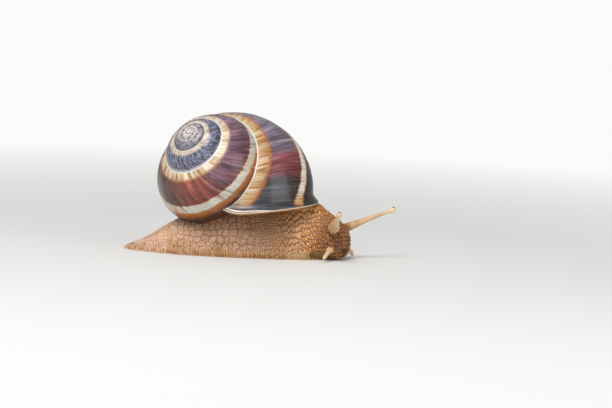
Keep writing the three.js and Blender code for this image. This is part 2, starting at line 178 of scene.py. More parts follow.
def read_rows(items, name, width, kind=float):
    """What a mesh says of all its points or edges, as one row of numbers for each."""
    values = np.empty(len(items) * width, kind)
    items.foreach_get(name, values)
    return values.reshape(-1, width)


def on_floor(mesh, points):
    """Moves a mesh's points to new places in millimetres, none of them below the floor."""
    points[:, 2] = np.maximum(points[:, 2], 0)
    mesh.vertices.foreach_set("co", (points * MM).ravel())
    mesh.update()


def modified(thing, kind, **settings):
    """The mesh that an object has under one modifier."""
    modifier = thing.modifiers.new(kind.lower(), kind)
    for name, value in settings.items():
        setattr(modifier, name, value)
    evaluated = thing.evaluated_get(bpy.context.evaluated_depsgraph_get())
    return bpy.data.meshes.new_from_object(evaluated)


# %% Curves and horns
def bend_points(bend, share):
    """A curve through a root and a tip, drawn towards a third point: (1-t)^2, 2t(1-t) and t^2,
    walked at an even pace."""
    root, middle, tip = (np.array(p) for p in bend)
    t = np.linspace(0, 1, 400)[:, None]
    curve = root * (1 - t) ** 2 + middle * 2 * t * (1 - t) + tip * t * t
    walked = np.concatenate([[0], np.cumsum(np.linalg.norm(np.diff(curve, axis=0), axis=1))])
    return np.stack([np.interp(share, walked / walked[-1], curve[:, i]) for i in range(3)], -1)


def horn_grid(bend, radius, rows, columns):
    """A round tube along such a curve, with its own radius for each share of the way."""
    share = np.linspace(0, 1, rows)
    middle = bend_points(bend, share)
    forward = np.gradient(middle, axis=0)
    forward /= np.linalg.norm(forward, axis=1, keepdims=True)
    side = np.stack([-forward[:, 1], forward[:, 0], 0 * forward[:, 0]], -1)
    side /= np.linalg.norm(side, axis=1, keepdims=True)
    top = np.cross(forward, side)
    around = 2 * np.pi * np.arange(columns) / columns
    ring = side[:, None] * np.cos(around)[:, None] + top[:, None] * np.sin(around)[:, None]
    return middle[:, None] + ring * radius(share)[:, None, None]


# %% [markdown]
# ## The spiral of the shell
# A snail only ever adds shell at its mouth, and each new bit is a little larger, so the shell is
# an oval carried round an axis while it grows by a steady share each turn.
# It could be modelled with a screw modifier, but that has no growth in it, so the formula is
# written out: a turn number and an angle round the oval give a place on the shell.
# Turn 0 is at the mouth, and the count goes up towards the tip, the way back in the shell's life.

# %% Measures of the spiral, in millimetres and degrees
SPIRE_TIP = np.array([-12.3, -11.0, 33.1])
AXIS_AZIMUTH, AXIS_ELEVATION = math.radians(-127.9), math.radians(40.3)
MOUTH_ANGLE = 125.6
TURNS = 4.85
RING_RADIUS, RING_RATE = 12.47, 0.501
RING_DROP, DROP_RATE = 26.1, 0.711
HALF_WIDTH, HALF_HEIGHT, OVAL_RATE = 12.16, 15.15, 0.458
TILT = math.radians(30.4)
MOUTH_SINK, MOUTH_DRAW, MOUTH_SPAN = 1.97, 2.8, 0.22
BASE_HOLLOW, AXIS_CLEAR = 0.3, 0.5
WALL = 0.9
LIP_FLARE, FRONT_FLARE, FRONT_ANGLE, FLARE_REACH = 0.8, 1.0, math.radians(-68), 3.4
FRONT_FILL, FILL_START, FILL_END = 1.3, 0.14, 0.42
MOUTH_POINT, MOUTH_RISE = np.array([3.0, -13.0, 12.3]), math.radians(6.8)
CURL_START, CURL_RATE = 3.0, 0.045

axis = np.array([
    math.cos(AXIS_ELEVATION) * math.cos(AXIS_AZIMUTH),
    math.cos(AXIS_ELEVATION) * math.sin(AXIS_AZIMUTH),
    math.sin(AXIS_ELEVATION),
])
across = np.cross(axis, [0, 0, 1])
across /= np.linalg.norm(across)
uphill = np.cross(axis, across)
mouth_normal = np.array([-math.sin(MOUTH_RISE), 0, math.cos(MOUTH_RISE)])


def oval(turn, inset=0.0):
    """The oval at a turn: distance of its middle from the axis, drop below the tip and two half
    axes. Each is an exponential of the turn, and near the mouth the whorl sinks and draws in."""
    near = np.exp(-(np.maximum(turn, 0) / MOUTH_SPAN) ** 2)
    size = np.exp(-OVAL_RATE * turn)
    radius = RING_RADIUS * np.exp(-RING_RATE * turn) - MOUTH_DRAW * near
    drop = RING_DROP * np.exp(-DROP_RATE * turn) + MOUTH_SINK * near
    return radius, drop, HALF_WIDTH * size - inset, HALF_HEIGHT * size - inset, size


def headward(angle):
    """1 where an angle round the oval looks at the head, and 0 from square to it: cosine cubed."""
    return np.maximum(0, np.cos(angle - FRONT_ANGLE)) ** 3


def half_plane(turn, angle, inset):
    """A point of the oval as (distance from the axis, height over the tip). The side towards the
    head is fuller near the mouth, the base is flattened towards the axis, and nothing comes nearer
    to the axis than AXIS_CLEAR."""
    inset = inset - FRONT_FILL * headward(angle) * (1 - ease(turn, FILL_START, FILL_END))
    radius, drop, wide, tall, size = oval(turn, inset)
    c, s = math.cos(TILT), math.sin(TILT)
    angle = np.mod(angle, 2 * np.pi)
    x, y = wide * np.cos(angle), tall * np.sin(angle)
    lowest = -np.hypot(wide * s, tall * c)
    lowest_angle = np.pi + np.arctan2(tall * c, wide * s)
    innermost = np.pi - np.arctan2(tall * s, wide * c)
    height = x * s + y * c
    under = (angle > innermost) & (angle < lowest_angle)
    height = np.where(under, lowest + BASE_HOLLOW * (height - lowest), height)
    return np.maximum(radius + x * c - y * s, AXIS_CLEAR * size), height - drop


def shell_place(turn, angle, inset=0.0):
    """The half plane's point, turned round the axis by a full circle a turn."""
    distance, height = half_plane(turn, angle, inset)
    around = np.radians(MOUTH_ANGLE + 360 * (turn + 0 * distance))
    return (
        SPIRE_TIP
        + (distance * np.cos(around))[..., None] * across
        + (distance * np.sin(around))[..., None] * uphill
        + height[..., None] * axis
    )


def covered(turn, angle, inset):
    """Below 0 where a point lies inside the whorl before it: the oval's own equation, less one."""
    distance, height = half_plane(turn, angle, inset)
    radius, drop, wide, tall, _ = oval(turn + 1)
    dx, dz = distance - radius, height + drop
    c, s = math.cos(TILT), math.sin(TILT)
    return ((dx * c + dz * s) / wide) ** 2 + ((dz * c - dx * s) / tall) ** 2 - 1


print("mouth oval:", 2 * HALF_WIDTH, "by", 2 * HALF_HEIGHT, "mm, and", TURNS, "turns")

# %% [markdown]
# The mouth is cut off along one plane, so no ring of the spiral ends there by itself.
# For every angle round the oval, halving finds the turn at which the shell meets that plane.
# The lip turns outwards, most of all towards the head, and its edge is a rounded rim.


# %% The mouth's edge
def over_mouth(place):
    """Height over the mouth's plane, which curls up behind by a share of the distance squared."""
    curl = CURL_RATE * np.maximum(0, CURL_START - place[..., 0]) ** 2
    return (place - MOUTH_POINT) @ mouth_normal - curl


HALVINGS = 40
FIRST_GUESS, LAST_GUESS = -0.1, 0.5  # turns between which the mouth is looked for
RISE = 500  # millimetres a turn, by which the first of them follows the height


def mouth_turn(angle, inset, height):
    """The turn at which the shell is at a height over the mouth, by halving the interval."""
    below = FIRST_GUESS + height / RISE + 0 * angle
    above = LAST_GUESS + 0 * angle
    for _ in range(HALVINGS):
        middle = (below + above) / 2
        under = over_mouth(shell_place(middle, angle, inset)) < height
        below, above = np.where(under, middle, below), np.where(under, above, middle)
    return (below + above) / 2


def flare(height, angle):
    """How far the lip stands out: a share for the whole lip and one for the head's side, both
    fading upwards."""
    fade = (1 - ease(height, 0, FLARE_REACH)) ** 1.5
    return (LIP_FLARE + FRONT_FLARE * headward(angle)) * fade


print("the lip stands out by", LIP_FLARE, "to", LIP_FLARE + FRONT_FLARE, "mm")

# %% [markdown]
# ## The shell's surface
# The grid's rows are lines of growth, from deep inside the mouth, round the rim, and back up the
# spiral to the tip. Its columns start at the suture, where a whorl sits on the one before, and
# run round the outside to the base. What lies inside the older whorl gets few columns.
# The alternative, a subdivided cage, would blur the sutures, which are the sharpest lines here.

# %% Rows and columns of the shell
INSET = 0.1  # the frame's own facets lie a little inside the true spiral
RIM = WALL / 2
OUTSIDE, HIDDEN = 112, 16
SWING_END = 0.42
LOWER_END, OLD_START = math.radians(-216.2), math.radians(143.8)
PROFILE_END = 1.85
SUTURE_GAP, BASE_GAP = 0.06, 0.1  # in radians, so that no row starts or ends on a border
# How far round a whorl of a given turn is shown, as a share of the profile.
SHOWN_TURN = [1.0, 1.1, 1.3, 1.75, 2.0, 2.5, 3.0, 4.0]
SHOWN_SHARE = [1.83, 1.5, 0.85, 0.55, 0.5, 0.45, 0.42, 0.5]


def suture_angle(turn_at):
    """The first angle, going up from the oval's outermost point, that the older whorl covers."""
    angles = np.linspace(0, 1.15 * np.pi, 900)
    value = covered(*turn_at(angles))
    k = np.maximum((value < 0).argmax(-1), 1)
    before = np.take_along_axis(value, k[:, None] - 1, 1)[:, 0]
    after = np.take_along_axis(value, k[:, None], 1)[:, 0]
    return angles[k - 1] + (angles[1] - angles[0]) * before / (before - after)


def rows_of(column, rule):
    """Rows for a column of numbers: a function of the angles that gives turns, angles and insets.
    The rule says how turns and insets follow from the column and the angles."""
    column = np.array(column)[:, None]

    def at(angles):
        angles = np.broadcast_to(angles, (len(column), np.shape(angles)[-1]))
        turns, insets = rule(column, angles)
        return turns + 0 * angles, angles, insets + 0 * angles

    return at


def lip_rows(heights, insets):
    """Rows that stay at a height over the mouth, each with its own inset and the lip's flare."""
    def rule(height, angles):
        drawn = np.array(insets)[:, None] + INSET - flare(height, angles)
        return mouth_turn(angles, drawn, height), drawn
    return rows_of(heights, rule)


def swing_rows(shares, inset):
    """Rows that swing from the lip's level into plain rings, by a share from 0 to 1."""
    def rule(share, angles):
        start = mouth_turn(angles, inset + INSET, FLARE_REACH)
        return start + (SWING_END - start) * share, inset + INSET
    return rows_of(shares, rule)


def plain_rows(turns):
    """Rings that keep one turn all round, with an inset that shrinks as the shell does."""
    return rows_of(turns, lambda turn, angles: (turn, INSET * np.exp(-OVAL_RATE * turn)))


def row_angles(suture, turn):
    """Angles of a row's columns. Young whorls run from the suture right round to the axis.
    Older ones stop where the next whorl covers them. The oldest show their inner side as well."""
    start = suture + SUTURE_GAP
    start = start + (OLD_START - start) * ease(turn, 3.2, 3.8)
    lower = np.interp(turn, SHOWN_TURN, SHOWN_SHARE)
    end = np.maximum(LOWER_END, suture - lower * (suture + PROFILE_END) - BASE_GAP)
    shown = start[:, None] + (end - start)[:, None] * np.linspace(0, 1, OUTSIDE)
    rest = end[:, None] + (start - 2 * np.pi - end)[:, None] * np.linspace(0, 1, HIDDEN + 2)[1:-1]
    return np.concatenate([shown, rest], 1)


ROW_STEP, STEP_GROWTH, LAST_ROW = 0.006, 0.6, TURNS - 0.12
older = [1.0]
while older[-1] < LAST_ROW:
    older.append(older[-1] + ROW_STEP * math.exp(STEP_GROWTH * (older[-1] - 1)))
rolled = np.linspace(0, np.pi, 9)[1:-1]
parts = [
    swing_rows(np.linspace(0.75, 0.08, 8), WALL),
    lip_rows(np.linspace(FLARE_REACH, RIM, 8), np.full(8, WALL)),
    lip_rows(RIM - RIM * np.sin(rolled), RIM + RIM * np.cos(rolled)),
    lip_rows(np.linspace(RIM, FLARE_REACH, 12), np.zeros(12)),
    swing_rows(np.linspace(0, 1, 78)[1:], 0.0),
    plain_rows(np.concatenate([np.linspace(SWING_END, 1, 176)[1:], older[1:]])),
]
sutures = [suture_angle(part) for part in parts]
middles = [part(np.zeros(1))[0][:, 0] for part in parts]
angle = np.concatenate([row_angles(s, t) for s, t in zip(sutures, middles)])
suture = np.concatenate(sutures)
starts = np.cumsum([0] + [len(s) for s in sutures])
turn, drawn = np.empty_like(angle), np.empty_like(angle)
for part, first, last in zip(parts, starts, starts[1:]):
    turns_here, _, insets_here = part(angle[first:last])
    turn[first:last], drawn[first:last] = turns_here, insets_here
rim_rows = (starts[2], starts[3])
print("shell grid:", angle.shape, "with sutures at", np.degrees(suture[[0, -1]]).round(1))

# %% [markdown]
# A row's place along the spiral and along its own profile is stored with each point. Growth is
# the turn counted along the lines of growth, which lean back towards the base, so that a streak
# in the colour or a ridge in the surface follows them. The ridges are worked in here as height.

# %% Profile, growth and relief
BEFORE_SUTURE = 0.2  # radians in which a place still counts as a little above the suture
profile = -np.mod(angle - suture[:, None] - BEFORE_SUTURE, -2 * np.pi) - BEFORE_SUTURE
profile /= suture[:, None] + PROFILE_END
lip_turn = mouth_turn(angle, INSET, 0)
back = ease(turn, 0.03, 0.3)
growth = turn - lip_turn * (1 - back) - 0.16 * np.clip(profile, 0, 1.3) * back

ridge = soft_noise(growth * 95 + 4, profile * 2.2 + 9, 3) * 0.05
ridge += soft_noise(growth * 30 + 7, profile * 1.3 + 2, 4) * 0.09
REST_TURNS, REST_WIDTH = (0.205, 0.87, 1.07), 0.0035
rests = sum(np.exp(-((growth - place) / REST_WIDTH) ** 2) for place in REST_TURNS)
relief = (ridge - 0.1 - 0.09 * rests) * np.exp(-0.35 * turn) * ease(turn, -0.1, 0.03)
relief *= (drawn < INSET + 0.01) * ease(profile, 0.0, 0.04)
relief = np.where(turn > 3.4, relief * 0.3, relief)
bulge = np.sin(np.pi * np.clip(profile / 0.34, 0, 1)) ** 0.8 - 0.35
relief += 0.5 * bulge * np.exp(-OVAL_RATE * turn) * ease(turn, 1.3, 2.2) * (profile < 0.6)
shell_grid = shell_place(turn, angle, drawn - relief)
print("relief from", round(relief.min(), 3), "to", round(relief.max(), 3), "mm")

# %% [markdown]
# Beside the mouth the axis leaves a hollow, the navel, and the animal closes it with a fold of
# its lip. The fold is a horn of its own that swells from the lip to the pillar.

# %% The fold over the navel, and the shell's mesh
NAVEL_FOLD = ([8.5, 8.9, 13.1], [2.2, 9.6, 11.0], [-1.0, 3.6, 16.7])
FOLD_SHARE, FOLD_RADIUS = [0, 0.3, 0.5, 0.75, 1], [0.4, 0.6, 0.95, 1.3, 1.8]
FOLD_ROWS, FOLD_COLUMNS = 48, 24
INNER_RIM = 0.6  # how much of the rim's colour the inside of the mouth takes
FOLD_VALUES = {"turn": 0.2, "profile": 1.0, "growth": 0.3, "rim": 0.85}


def fold_radius(share):
    """Thickness of the fold along its way, rounded at the lip."""
    rounded = np.sqrt(1 - (1 - ease(share, 0, 0.08)) ** 2 * 0.9)
    return np.interp(share, FOLD_SHARE, FOLD_RADIUS) * rounded


fold_grid = horn_grid(NAVEL_FOLD, fold_radius, FOLD_ROWS, FOLD_COLUMNS)
shell = make_object("shell", [shell_grid, fold_grid])
rim_mask = np.zeros_like(angle)
rim_mask[rim_rows[0]:rim_rows[1]] = 1
rim_mask[:rim_rows[0]] = INNER_RIM
on_fold = len(shell.data.vertices) - angle.size - 2
shell_values = {"turn": turn, "profile": profile, "growth": growth, "rim": rim_mask}
for name, values in shell_values.items():
    rest = [values[0, 0], values[-1, 0]] + [FOLD_VALUES[name]] * on_fold
    shell_values[name] = np.concatenate([values.ravel(), rest])
keep_values(shell.data, shell_values)
print("shell:", len(shell.data.vertices), "points")

# %% [markdown]
# ## The flesh
# The body is one arch carried along the line of the back, wide and flat where it glides, higher
# under the shell, and round at the head. Its sole, the eye stalks, the feelers, two mouth lobes
# and the mantle that fills the shell's mouth are surfaces of their own. A sculptor would press
# them into one skin, and a voxel remesh does that here: it walks once round all of them.

# %% Measures of the flesh, in millimetres
SKIN_INSET = 0.1
TAIL_TIP_X = -30.6
TURN_START_X, TURN_RADIUS, TURN_ANGLE = 14.0, 22.0, math.radians(35.0)
SOLE_RIM, SOLE_START, SOLE_FRONT, SOLE_ROUND = 0.8, 0.9, 58.4, 6.0
COLLAR_DEPTH, COLLAR_GAP = 0.55, 0.25
# Distance from the tail's tip, half width, height of the back, of the underside and of the widest
# line, and how square the arch is.
STATIONS = np.array([
    [0.0, 0.5, 0.8, 0, 0, 1.8],
    [3.7, 2.9, 2.1, 0, 0, 1.8],
    [7.5, 5.2, 4.0, 0, 0, 1.75],
    [11.2, 7.1, 6.5, 0, 0, 1.75],
    [15.0, 8.7, 8.8, 0, 0, 1.75],
    [20.0, 9.8, 11.2, 0, 0, 1.8],
    [28.0, 10.4, 14.6, 0, 0, 1.85],
    [40.0, 10.2, 16.4, 0, 0, 1.9],
    [48.0, 9.3, 16.4, 0, 0, 1.9],
    [53.5, 8.0, 15.0, 0, 0.6, 1.9],
    [57.5, 6.6, 12.4, 0.2, 2.6, 1.95],
    [60.0, 5.6, 11.0, 0.3, 3.6, 2.05],
    [61.6, 4.6, 9.9, 0.5, 4.0, 2.15],
    [62.6, 3.5, 8.7, 1.2, 4.2, 2.1],
    [63.1, 2.2, 7.2, 2.4, 4.4, 2.0],
])
STALKS = {
    "left": ([29.4, -3.6, 8.0], [36.0, -0.4, 10.8], [44.2, 1.0, 13.9]),
    "right": ([27.0, -7.4, 8.0], [27.6, -13.2, 10.4], [28.7, -21.2, 14.2]),
}
STOUT = {"left": 0.0, "right": 0.28}  # share of the length that a drawn-in stalk stays thick
FEELERS = {
    "left": ([30.4, -3.8, 3.4], [32.3, -2.2, 2.5], [33.0, -0.4, 0.85]),
    "right": ([27.3, -7.6, 3.4], [25.9, -11.2, 2.6], [24.9, -13.2, 0.95]),
}
STALK_ROOT, STALK_NECK, STALK_BULB, BULB_SHARE = 1.6, 0.5, 0.8, 0.93
FEELER_ROOT, FEELER_TIP, HORN_INSET = 0.8, 0.48, 0.03
EYE_RADIUS, EYE_SHARE, EYE_LIFT = 0.34, 0.955, 0.58
LOBE_RADIUS, LOBE_SPREAD, LOBE_AT, LOBE_HIGH = 1.2, 1.05, 61.9, 1.9
STRAIGHT = TURN_START_X - TAIL_TIP_X
ARC = TURN_RADIUS * TURN_ANGLE


# %% The line of the back, there and back again
def back_line(at):
    """Place and direction at a distance from the tail's tip: a straight, an arc, a straight."""
    turned = np.clip(at - STRAIGHT, 0, ARC) / TURN_RADIUS
    past = np.maximum(0, at - STRAIGHT - ARC)
    forward = np.stack([np.cos(turned), -np.sin(turned)], -1)
    x = TAIL_TIP_X + np.minimum(at, STRAIGHT) + TURN_RADIUS * np.sin(turned)
    y = -TURN_RADIUS * (1 - np.cos(turned))
    return np.stack([x, y], -1) + past[..., None] * forward, forward


def along_back(place):
    """The other way round: distance along the back and distance to its left, for any place."""
    dx, dy = place[..., 0] - TURN_START_X, place[..., 1] + TURN_RADIUS
    turned = np.clip(np.arctan2(dx, dy), 0, TURN_ANGLE)
    past = np.maximum(0, dx * math.cos(TURN_ANGLE) - dy * math.sin(TURN_ANGLE))
    side = dx * np.sin(turned) + dy * np.cos(turned) - TURN_RADIUS
    return STRAIGHT + np.minimum(dx, 0) + TURN_RADIUS * turned + past, side


def measures(at):
    """The stations' numbers at any distance, on a smooth curve (Hermite, with each station's slope
    taken from its two neighbours)."""
    place = STATIONS[:, 0]
    ends = np.clip([np.arange(len(place)) - 1, np.arange(len(place)) + 1], 0, len(place) - 1)
    slope = (STATIONS[ends[1]] - STATIONS[ends[0]]) / (place[ends[1]] - place[ends[0]])[:, None]
    k = np.clip(np.searchsorted(place, at, "right") - 1, 0, len(place) - 2)
    length = (place[k + 1] - place[k])[..., None]
    t = np.clip((at - place[k]) / length[..., 0], 0, 1)[..., None]
    value = STATIONS[k] * (1 + 2 * t) * (1 - t) ** 2 + slope[k] * length * t * (1 - t) ** 2
    value += STATIONS[k + 1] * t * t * (3 - 2 * t) + slope[k + 1] * length * t * t * (t - 1)
    return np.moveaxis(value[..., 1:], -1, 0)


print("back line:", round(STRAIGHT, 1), "mm straight, then", round(ARC, 1), "mm of arc")


# %% The body and its sole
BODY_ENDS, NOSE_ENDS, TAIL_ROUND = (1.05, 62.6), (62.6, 63.0), (0.6, 2.6)
# How the sole's edge runs: distances in from its rim, heights, and the back's height from which
# the edge is as thick as that.
EDGE_IN = np.array([0.35, 0.12, 0.0, 0.04, 0.2, 0.42, 0.62, 0.76])
EDGE_UP = np.array([0.0, 0.1, 0.42, 0.8, 1.2, 1.7, 2.3, 3.0])
FULL_EDGE, THINNEST = 4.2, 0.02


def across_back(at, out, height):
    """Places from a distance along the back, a distance to the left, and a height."""
    place, forward = back_line(at)
    left = np.stack([-forward[..., 1], forward[..., 0]], -1)
    return np.concatenate([place + out[..., None] * left, height[..., None]], -1)


def body_grid(rows, columns):
    """Superellipse arches: out = half cos^(2/n), up = sin^(2/n) between the widest line and the
    back, and the same again down to the underside."""
    at = np.concatenate([np.linspace(*BODY_ENDS, rows), np.linspace(*NOSE_ENDS, 5)[1:]])[:, None]
    around = 2 * np.pi * (np.arange(columns) + 0.5)[None, :] / columns
    half, high, low, wide, square = measures(at + 0 * around)
    rounded = np.sqrt(ease(at, *TAIL_ROUND))
    half, high = (half - SKIN_INSET) * rounded, (high - SKIN_INSET) * rounded
    c, s = np.cos(around), np.sin(around)
    out = np.sign(c) * np.abs(c) ** (2 / square) * half
    up = np.abs(s) ** (2 / square)
    height = np.where(s > 0, wide + (high - wide) * up, wide - (wide - low) * up)
    return across_back(at + 0 * around, out, np.maximum(0, height))


def sole_grid(rows):
    """A flat band with a rounded rim that runs up into the flank in a hollow curve. In front it is
    rounded off by sqrt(1 - r^2), and its rim waves a little."""
    at = np.linspace(SOLE_START + 0.15, SOLE_FRONT - 0.1, rows)[:, None]
    rounding = np.clip((at - SOLE_FRONT + SOLE_ROUND) / SOLE_ROUND, 0, 0.985)
    half, high, *_ = measures(at)
    sides = []
    for way in (1, -1):
        wave = 0.1 + 0.1 * soft_noise(at * 0.32 + 9 * way, 0 * at, 61)
        rim = (half + SOLE_RIM - wave) * np.sqrt(1 - rounding ** 2) - SKIN_INSET
        rim *= np.sqrt(ease(at, *TAIL_ROUND))
        thick = np.minimum(1, high / FULL_EDGE)
        out = way * np.maximum(rim - EDGE_IN * thick, THINNEST)
        sides.append((out, EDGE_UP * thick + 0 * rim))
    out, height = (np.concatenate([left, right[:, ::-1]], 1) for left, right in zip(*sides))
    return across_back(at + 0 * out, out, height)


# %% Stalks, feelers and lobes
def round_end(radius, share, start):
    """A radius that closes towards the tip as sqrt(1 - 0.8 t^2), from a share of the way on."""
    return radius * np.sqrt(1 - 0.8 * ease(share, start, 1) ** 2) - HORN_INSET


def stalk_radius(stout):
    """Stays thick for a share, tapers as (1-t)^2.2 to a slim neck, and swells to a round bulb."""
    def radius(share):
        left = np.minimum((1 - share) / (1 - stout), 1)
        taper = STALK_NECK + (STALK_ROOT - STALK_NECK) * left ** 2.2
        bulb = ease(share, BULB_SHARE - 0.08, BULB_SHARE)
        return round_end(taper + (STALK_BULB - taper) * bulb, share, BULB_SHARE)
    return radius


def feeler_radius(share):
    """An even taper with a round end."""
    return round_end(FEELER_ROOT + (FEELER_TIP - FEELER_ROOT) * share, share, 0.9)


def ball_grid(centre, radii, rows, columns):
    """A ball or egg: cos and sin of a latitude from pole to pole, and of a longitude."""
    latitude = np.linspace(-np.pi / 2, np.pi / 2, rows + 2)[1:-1][:, None]
    longitude = 2 * np.pi * np.arange(columns)[None, :] / columns
    unit = np.stack([
        np.cos(latitude) * np.cos(longitude),
        np.cos(latitude) * np.sin(longitude),
        np.sin(latitude) + 0 * longitude,
    ], -1)
    return np.array(centre) + unit * np.array(radii)


# %% The mantle in the shell's mouth
MANTLE_INSET = WALL + COLLAR_GAP + 0.08
MANTLE_HEIGHT = np.array([-COLLAR_DEPTH, -0.35, 0.1, 0.8, 2.0, FLARE_REACH]) + 0.03
MANTLE_ROLL = MANTLE_INSET + np.array([1.0, 0.35, 0.0, 0.0, 0.0, 0.0])


def mantle_grid(columns):
    """Rings inside the shell's wall, from the rolled edge of the mantle up into the shell."""
    angles = (2 * np.pi * np.arange(columns) / columns)[None, :]
    rows = lip_rows(MANTLE_HEIGHT, MANTLE_ROLL), swing_rows([0.1, 0.25], MANTLE_INSET)
    return np.concatenate([shell_place(*at(angles)) for at in rows])


# %% All surfaces of the flesh
BODY_ROWS, BODY_COLUMNS, MANTLE_COLUMNS, HORN_SIZE, LOBE_SIZE = 150, 96, 120, (70, 28), (14, 24)
STALK_START, FEELER_START = 0.08, 0.1  # the share of its way at which a horn leaves the head
lobe_place, lobe_forward = back_line(np.array(LOBE_AT))
lobe_left = np.array([-lobe_forward[1], lobe_forward[0]])
lobe_centres = [(*(lobe_place + side * LOBE_SPREAD * lobe_left), LOBE_HIGH) for side in (-1, 1)]
grids = [body_grid(BODY_ROWS, BODY_COLUMNS), sole_grid(BODY_ROWS), mantle_grid(MANTLE_COLUMNS)]
horns = [(STALKS[side], stalk_radius(STOUT[side]), STALK_START) for side in STALKS]
horns += [(FEELERS[side], feeler_radius, FEELER_START) for side in FEELERS]
grids += [horn_grid(bend, radius, *HORN_SIZE) for bend, radius, _ in horns]
grids += [ball_grid(centre, [LOBE_RADIUS - 0.05] * 3, *LOBE_SIZE) for centre in lobe_centres]
print("flesh from", len(grids), "surfaces")

# %% One skin round them all
VOXEL = 0.175  # millimetres
rough = make_object("rough_skin", grids)
skin_mesh = modified(rough, "REMESH", mode="VOXEL", voxel_size=VOXEL * MM)
bpy.data.objects.remove(rough)
skin_mesh.name = "skin"
print("skin:", len(skin_mesh.vertices), "points,", len(skin_mesh.polygons), "faces")

# %% Smoothing the voxels' steps
INWARDS, OUTWARDS, ROUNDS = 0.5, -0.52, 10


def smooth(points, edges):
    """Each round moves a point towards the mean of its neighbours and a little further back,
    which takes the steps out and keeps the size."""
    links = np.bincount(edges.ravel(), minlength=len(points))[:, None]
    for share in [INWARDS, OUTWARDS] * ROUNDS:
        total = np.zeros_like(points)
        for a, b in ((0, 1), (1, 0)):
            for i in range(3):
                total[:, i] += np.bincount(edges[:, a], points[edges[:, b], i], len(points))
        points = points + share * (total / links - points)
    return points


skin_points = read_rows(skin_mesh.vertices, "co", 3) / MM
skin_points = smooth(skin_points, read_rows(skin_mesh.edges, "vertices", 2, np.int32))
on_floor(skin_mesh, skin_points)
skin_normals = read_rows(skin_mesh.vertex_normals, "vector", 3)
print("smoothed, and now", round(float(np.ptp(skin_points[:, 0])), 2), "mm long")

# %% [markdown]
# ## The grain of the skin
# A snail's skin is a pavement of tubercles with wet grooves between them: broad and many-sided on
# the foot, long and slanting on the neck, fine on the head, and a row of upright folds along the
# edge of the foot. The remesh left no such detail, so the grooves are pressed in afterwards.
# Each point gets its distance along the back and its distance up the flank, in millimetres. On
# the foot and the neck, cells drawn on those two coordinates give the grooves.

# %% Distance up the flank
BODY_LENGTH, FLANK_STEPS, ARCH_STEPS = 63, 126, 90


def flank_table():
    """Arc length up the arch, for distances along the back and for the arch's own angle from 0 at
    the widest line to a right angle at the top."""
    at = np.linspace(0, BODY_LENGTH, FLANK_STEPS + 1)[:, None]
    around = np.linspace(0.001, np.pi / 2, ARCH_STEPS + 1)[None, :]
    half, high, _, wide, square = measures(at + 0 * around)
    out = half * np.cos(around) ** (2 / square)
    up = wide + (high - wide) * np.sin(around) ** (2 / square)
    steps = np.hypot(np.diff(out, axis=1), np.diff(up, axis=1))
    return np.concatenate([0 * at, np.cumsum(steps, 1)], 1)


flank = flank_table()


def up_flank(at, side, height):
    """Arc length up the flank to a place, from the table."""
    half, high, _, wide, square = measures(at)
    out = np.clip(np.abs(side) / half, 1e-4, 2)
    up = np.clip((height - wide) / np.maximum(high - wide, 0.2), 1e-4, 2)
    around = np.arctan2(up ** (square / 2), out ** (square / 2))
    i = np.clip(at / BODY_LENGTH * FLANK_STEPS, 0, FLANK_STEPS - 0.001)
    j = np.clip(around / (np.pi / 2) * ARCH_STEPS, 0, ARCH_STEPS - 0.001)
    return look_up(flank, i, j)


at, side = along_back(skin_points)
height = skin_points[:, 2]
girth = up_flank(np.clip(at, 0, BODY_LENGTH), side, height)
print("flank up to", round(girth.max(), 1), "mm")


# %% Regions of the skin
def nearness(bend, radius):
    """For each point: the share of a stalk's length that is nearest, and the distance from its
    surface."""
    share = np.linspace(0, 1, 60)
    middle = bend_points(bend, share)
    gap = np.linalg.norm(skin_points[:, None] - middle[None], axis=2) - radius(share)[None]
    k = gap.argmin(1)
    return share[k], gap[np.arange(len(k)), k]


stalk_share, stalk_mask = np.zeros(len(at)), np.zeros(len(at))
stalk_root, stalk_gap = np.zeros(len(at)), np.full(len(at), FAR)
for bend, radius, start in horns:
    share, gap = nearness(bend, radius)
    mask = (1 - ease(gap, 0.1, 0.5)) * ease(share, start, start + 0.15)
    stalk_share = np.where(mask > stalk_mask, share, stalk_share)
    stalk_mask = np.maximum(stalk_mask, mask)
    stalk_root = np.where(gap < stalk_gap, share, stalk_root)
    stalk_gap = np.minimum(stalk_gap, gap)

over = over_mouth(skin_points)
mantle_mask = ease(over, -1.2, -0.5) * (1 - stalk_mask)
uneven = soft_noise(at * 0.6, girth * 0.6, 3)
fringe = (1 - ease(height + 0.5 * uneven, 1.7, 2.6)) * (1 - stalk_mask) * (1 - ease(at, 57.5, 60))
neck = ease(at + 0.2 * girth + 1.5 * uneven, 43.5, 46.5)
head = ease(at + 0.1 * height, 56.5, 58.0)
underside = 1 - ease(height, 0.05, 0.35)
calm = np.maximum.reduce([stalk_mask, mantle_mask, underside])
print("points on stalks and feelers:", int((stalk_mask > 0.5).sum()))

# %% [markdown]
# The cells of foot and neck are drawn on the flank's two distances: blocks in rows on the foot,
# which carry small warts, upright folds along its edge, and long ribs on the neck that lean more
# and more towards the head. The head is too round for such a flat map, so its cells are cut from
# a lattice in space.

# %% Grooves between the tubercles
SHIFT, OTHER_FLANK = 90, 17.0  # cells: past the lattice's corner, and new ones on the left flank
HEAD_LATTICE = np.array([0.6, 0.64, 1.1])  # millimetres
BLOCK_GROOVE = 0.14


def dome(border, width=0.4):
    """Height of a tubercle over its groove: 3t^2 - 2t^3 up from the border."""
    return ease(border, -0.04, width)


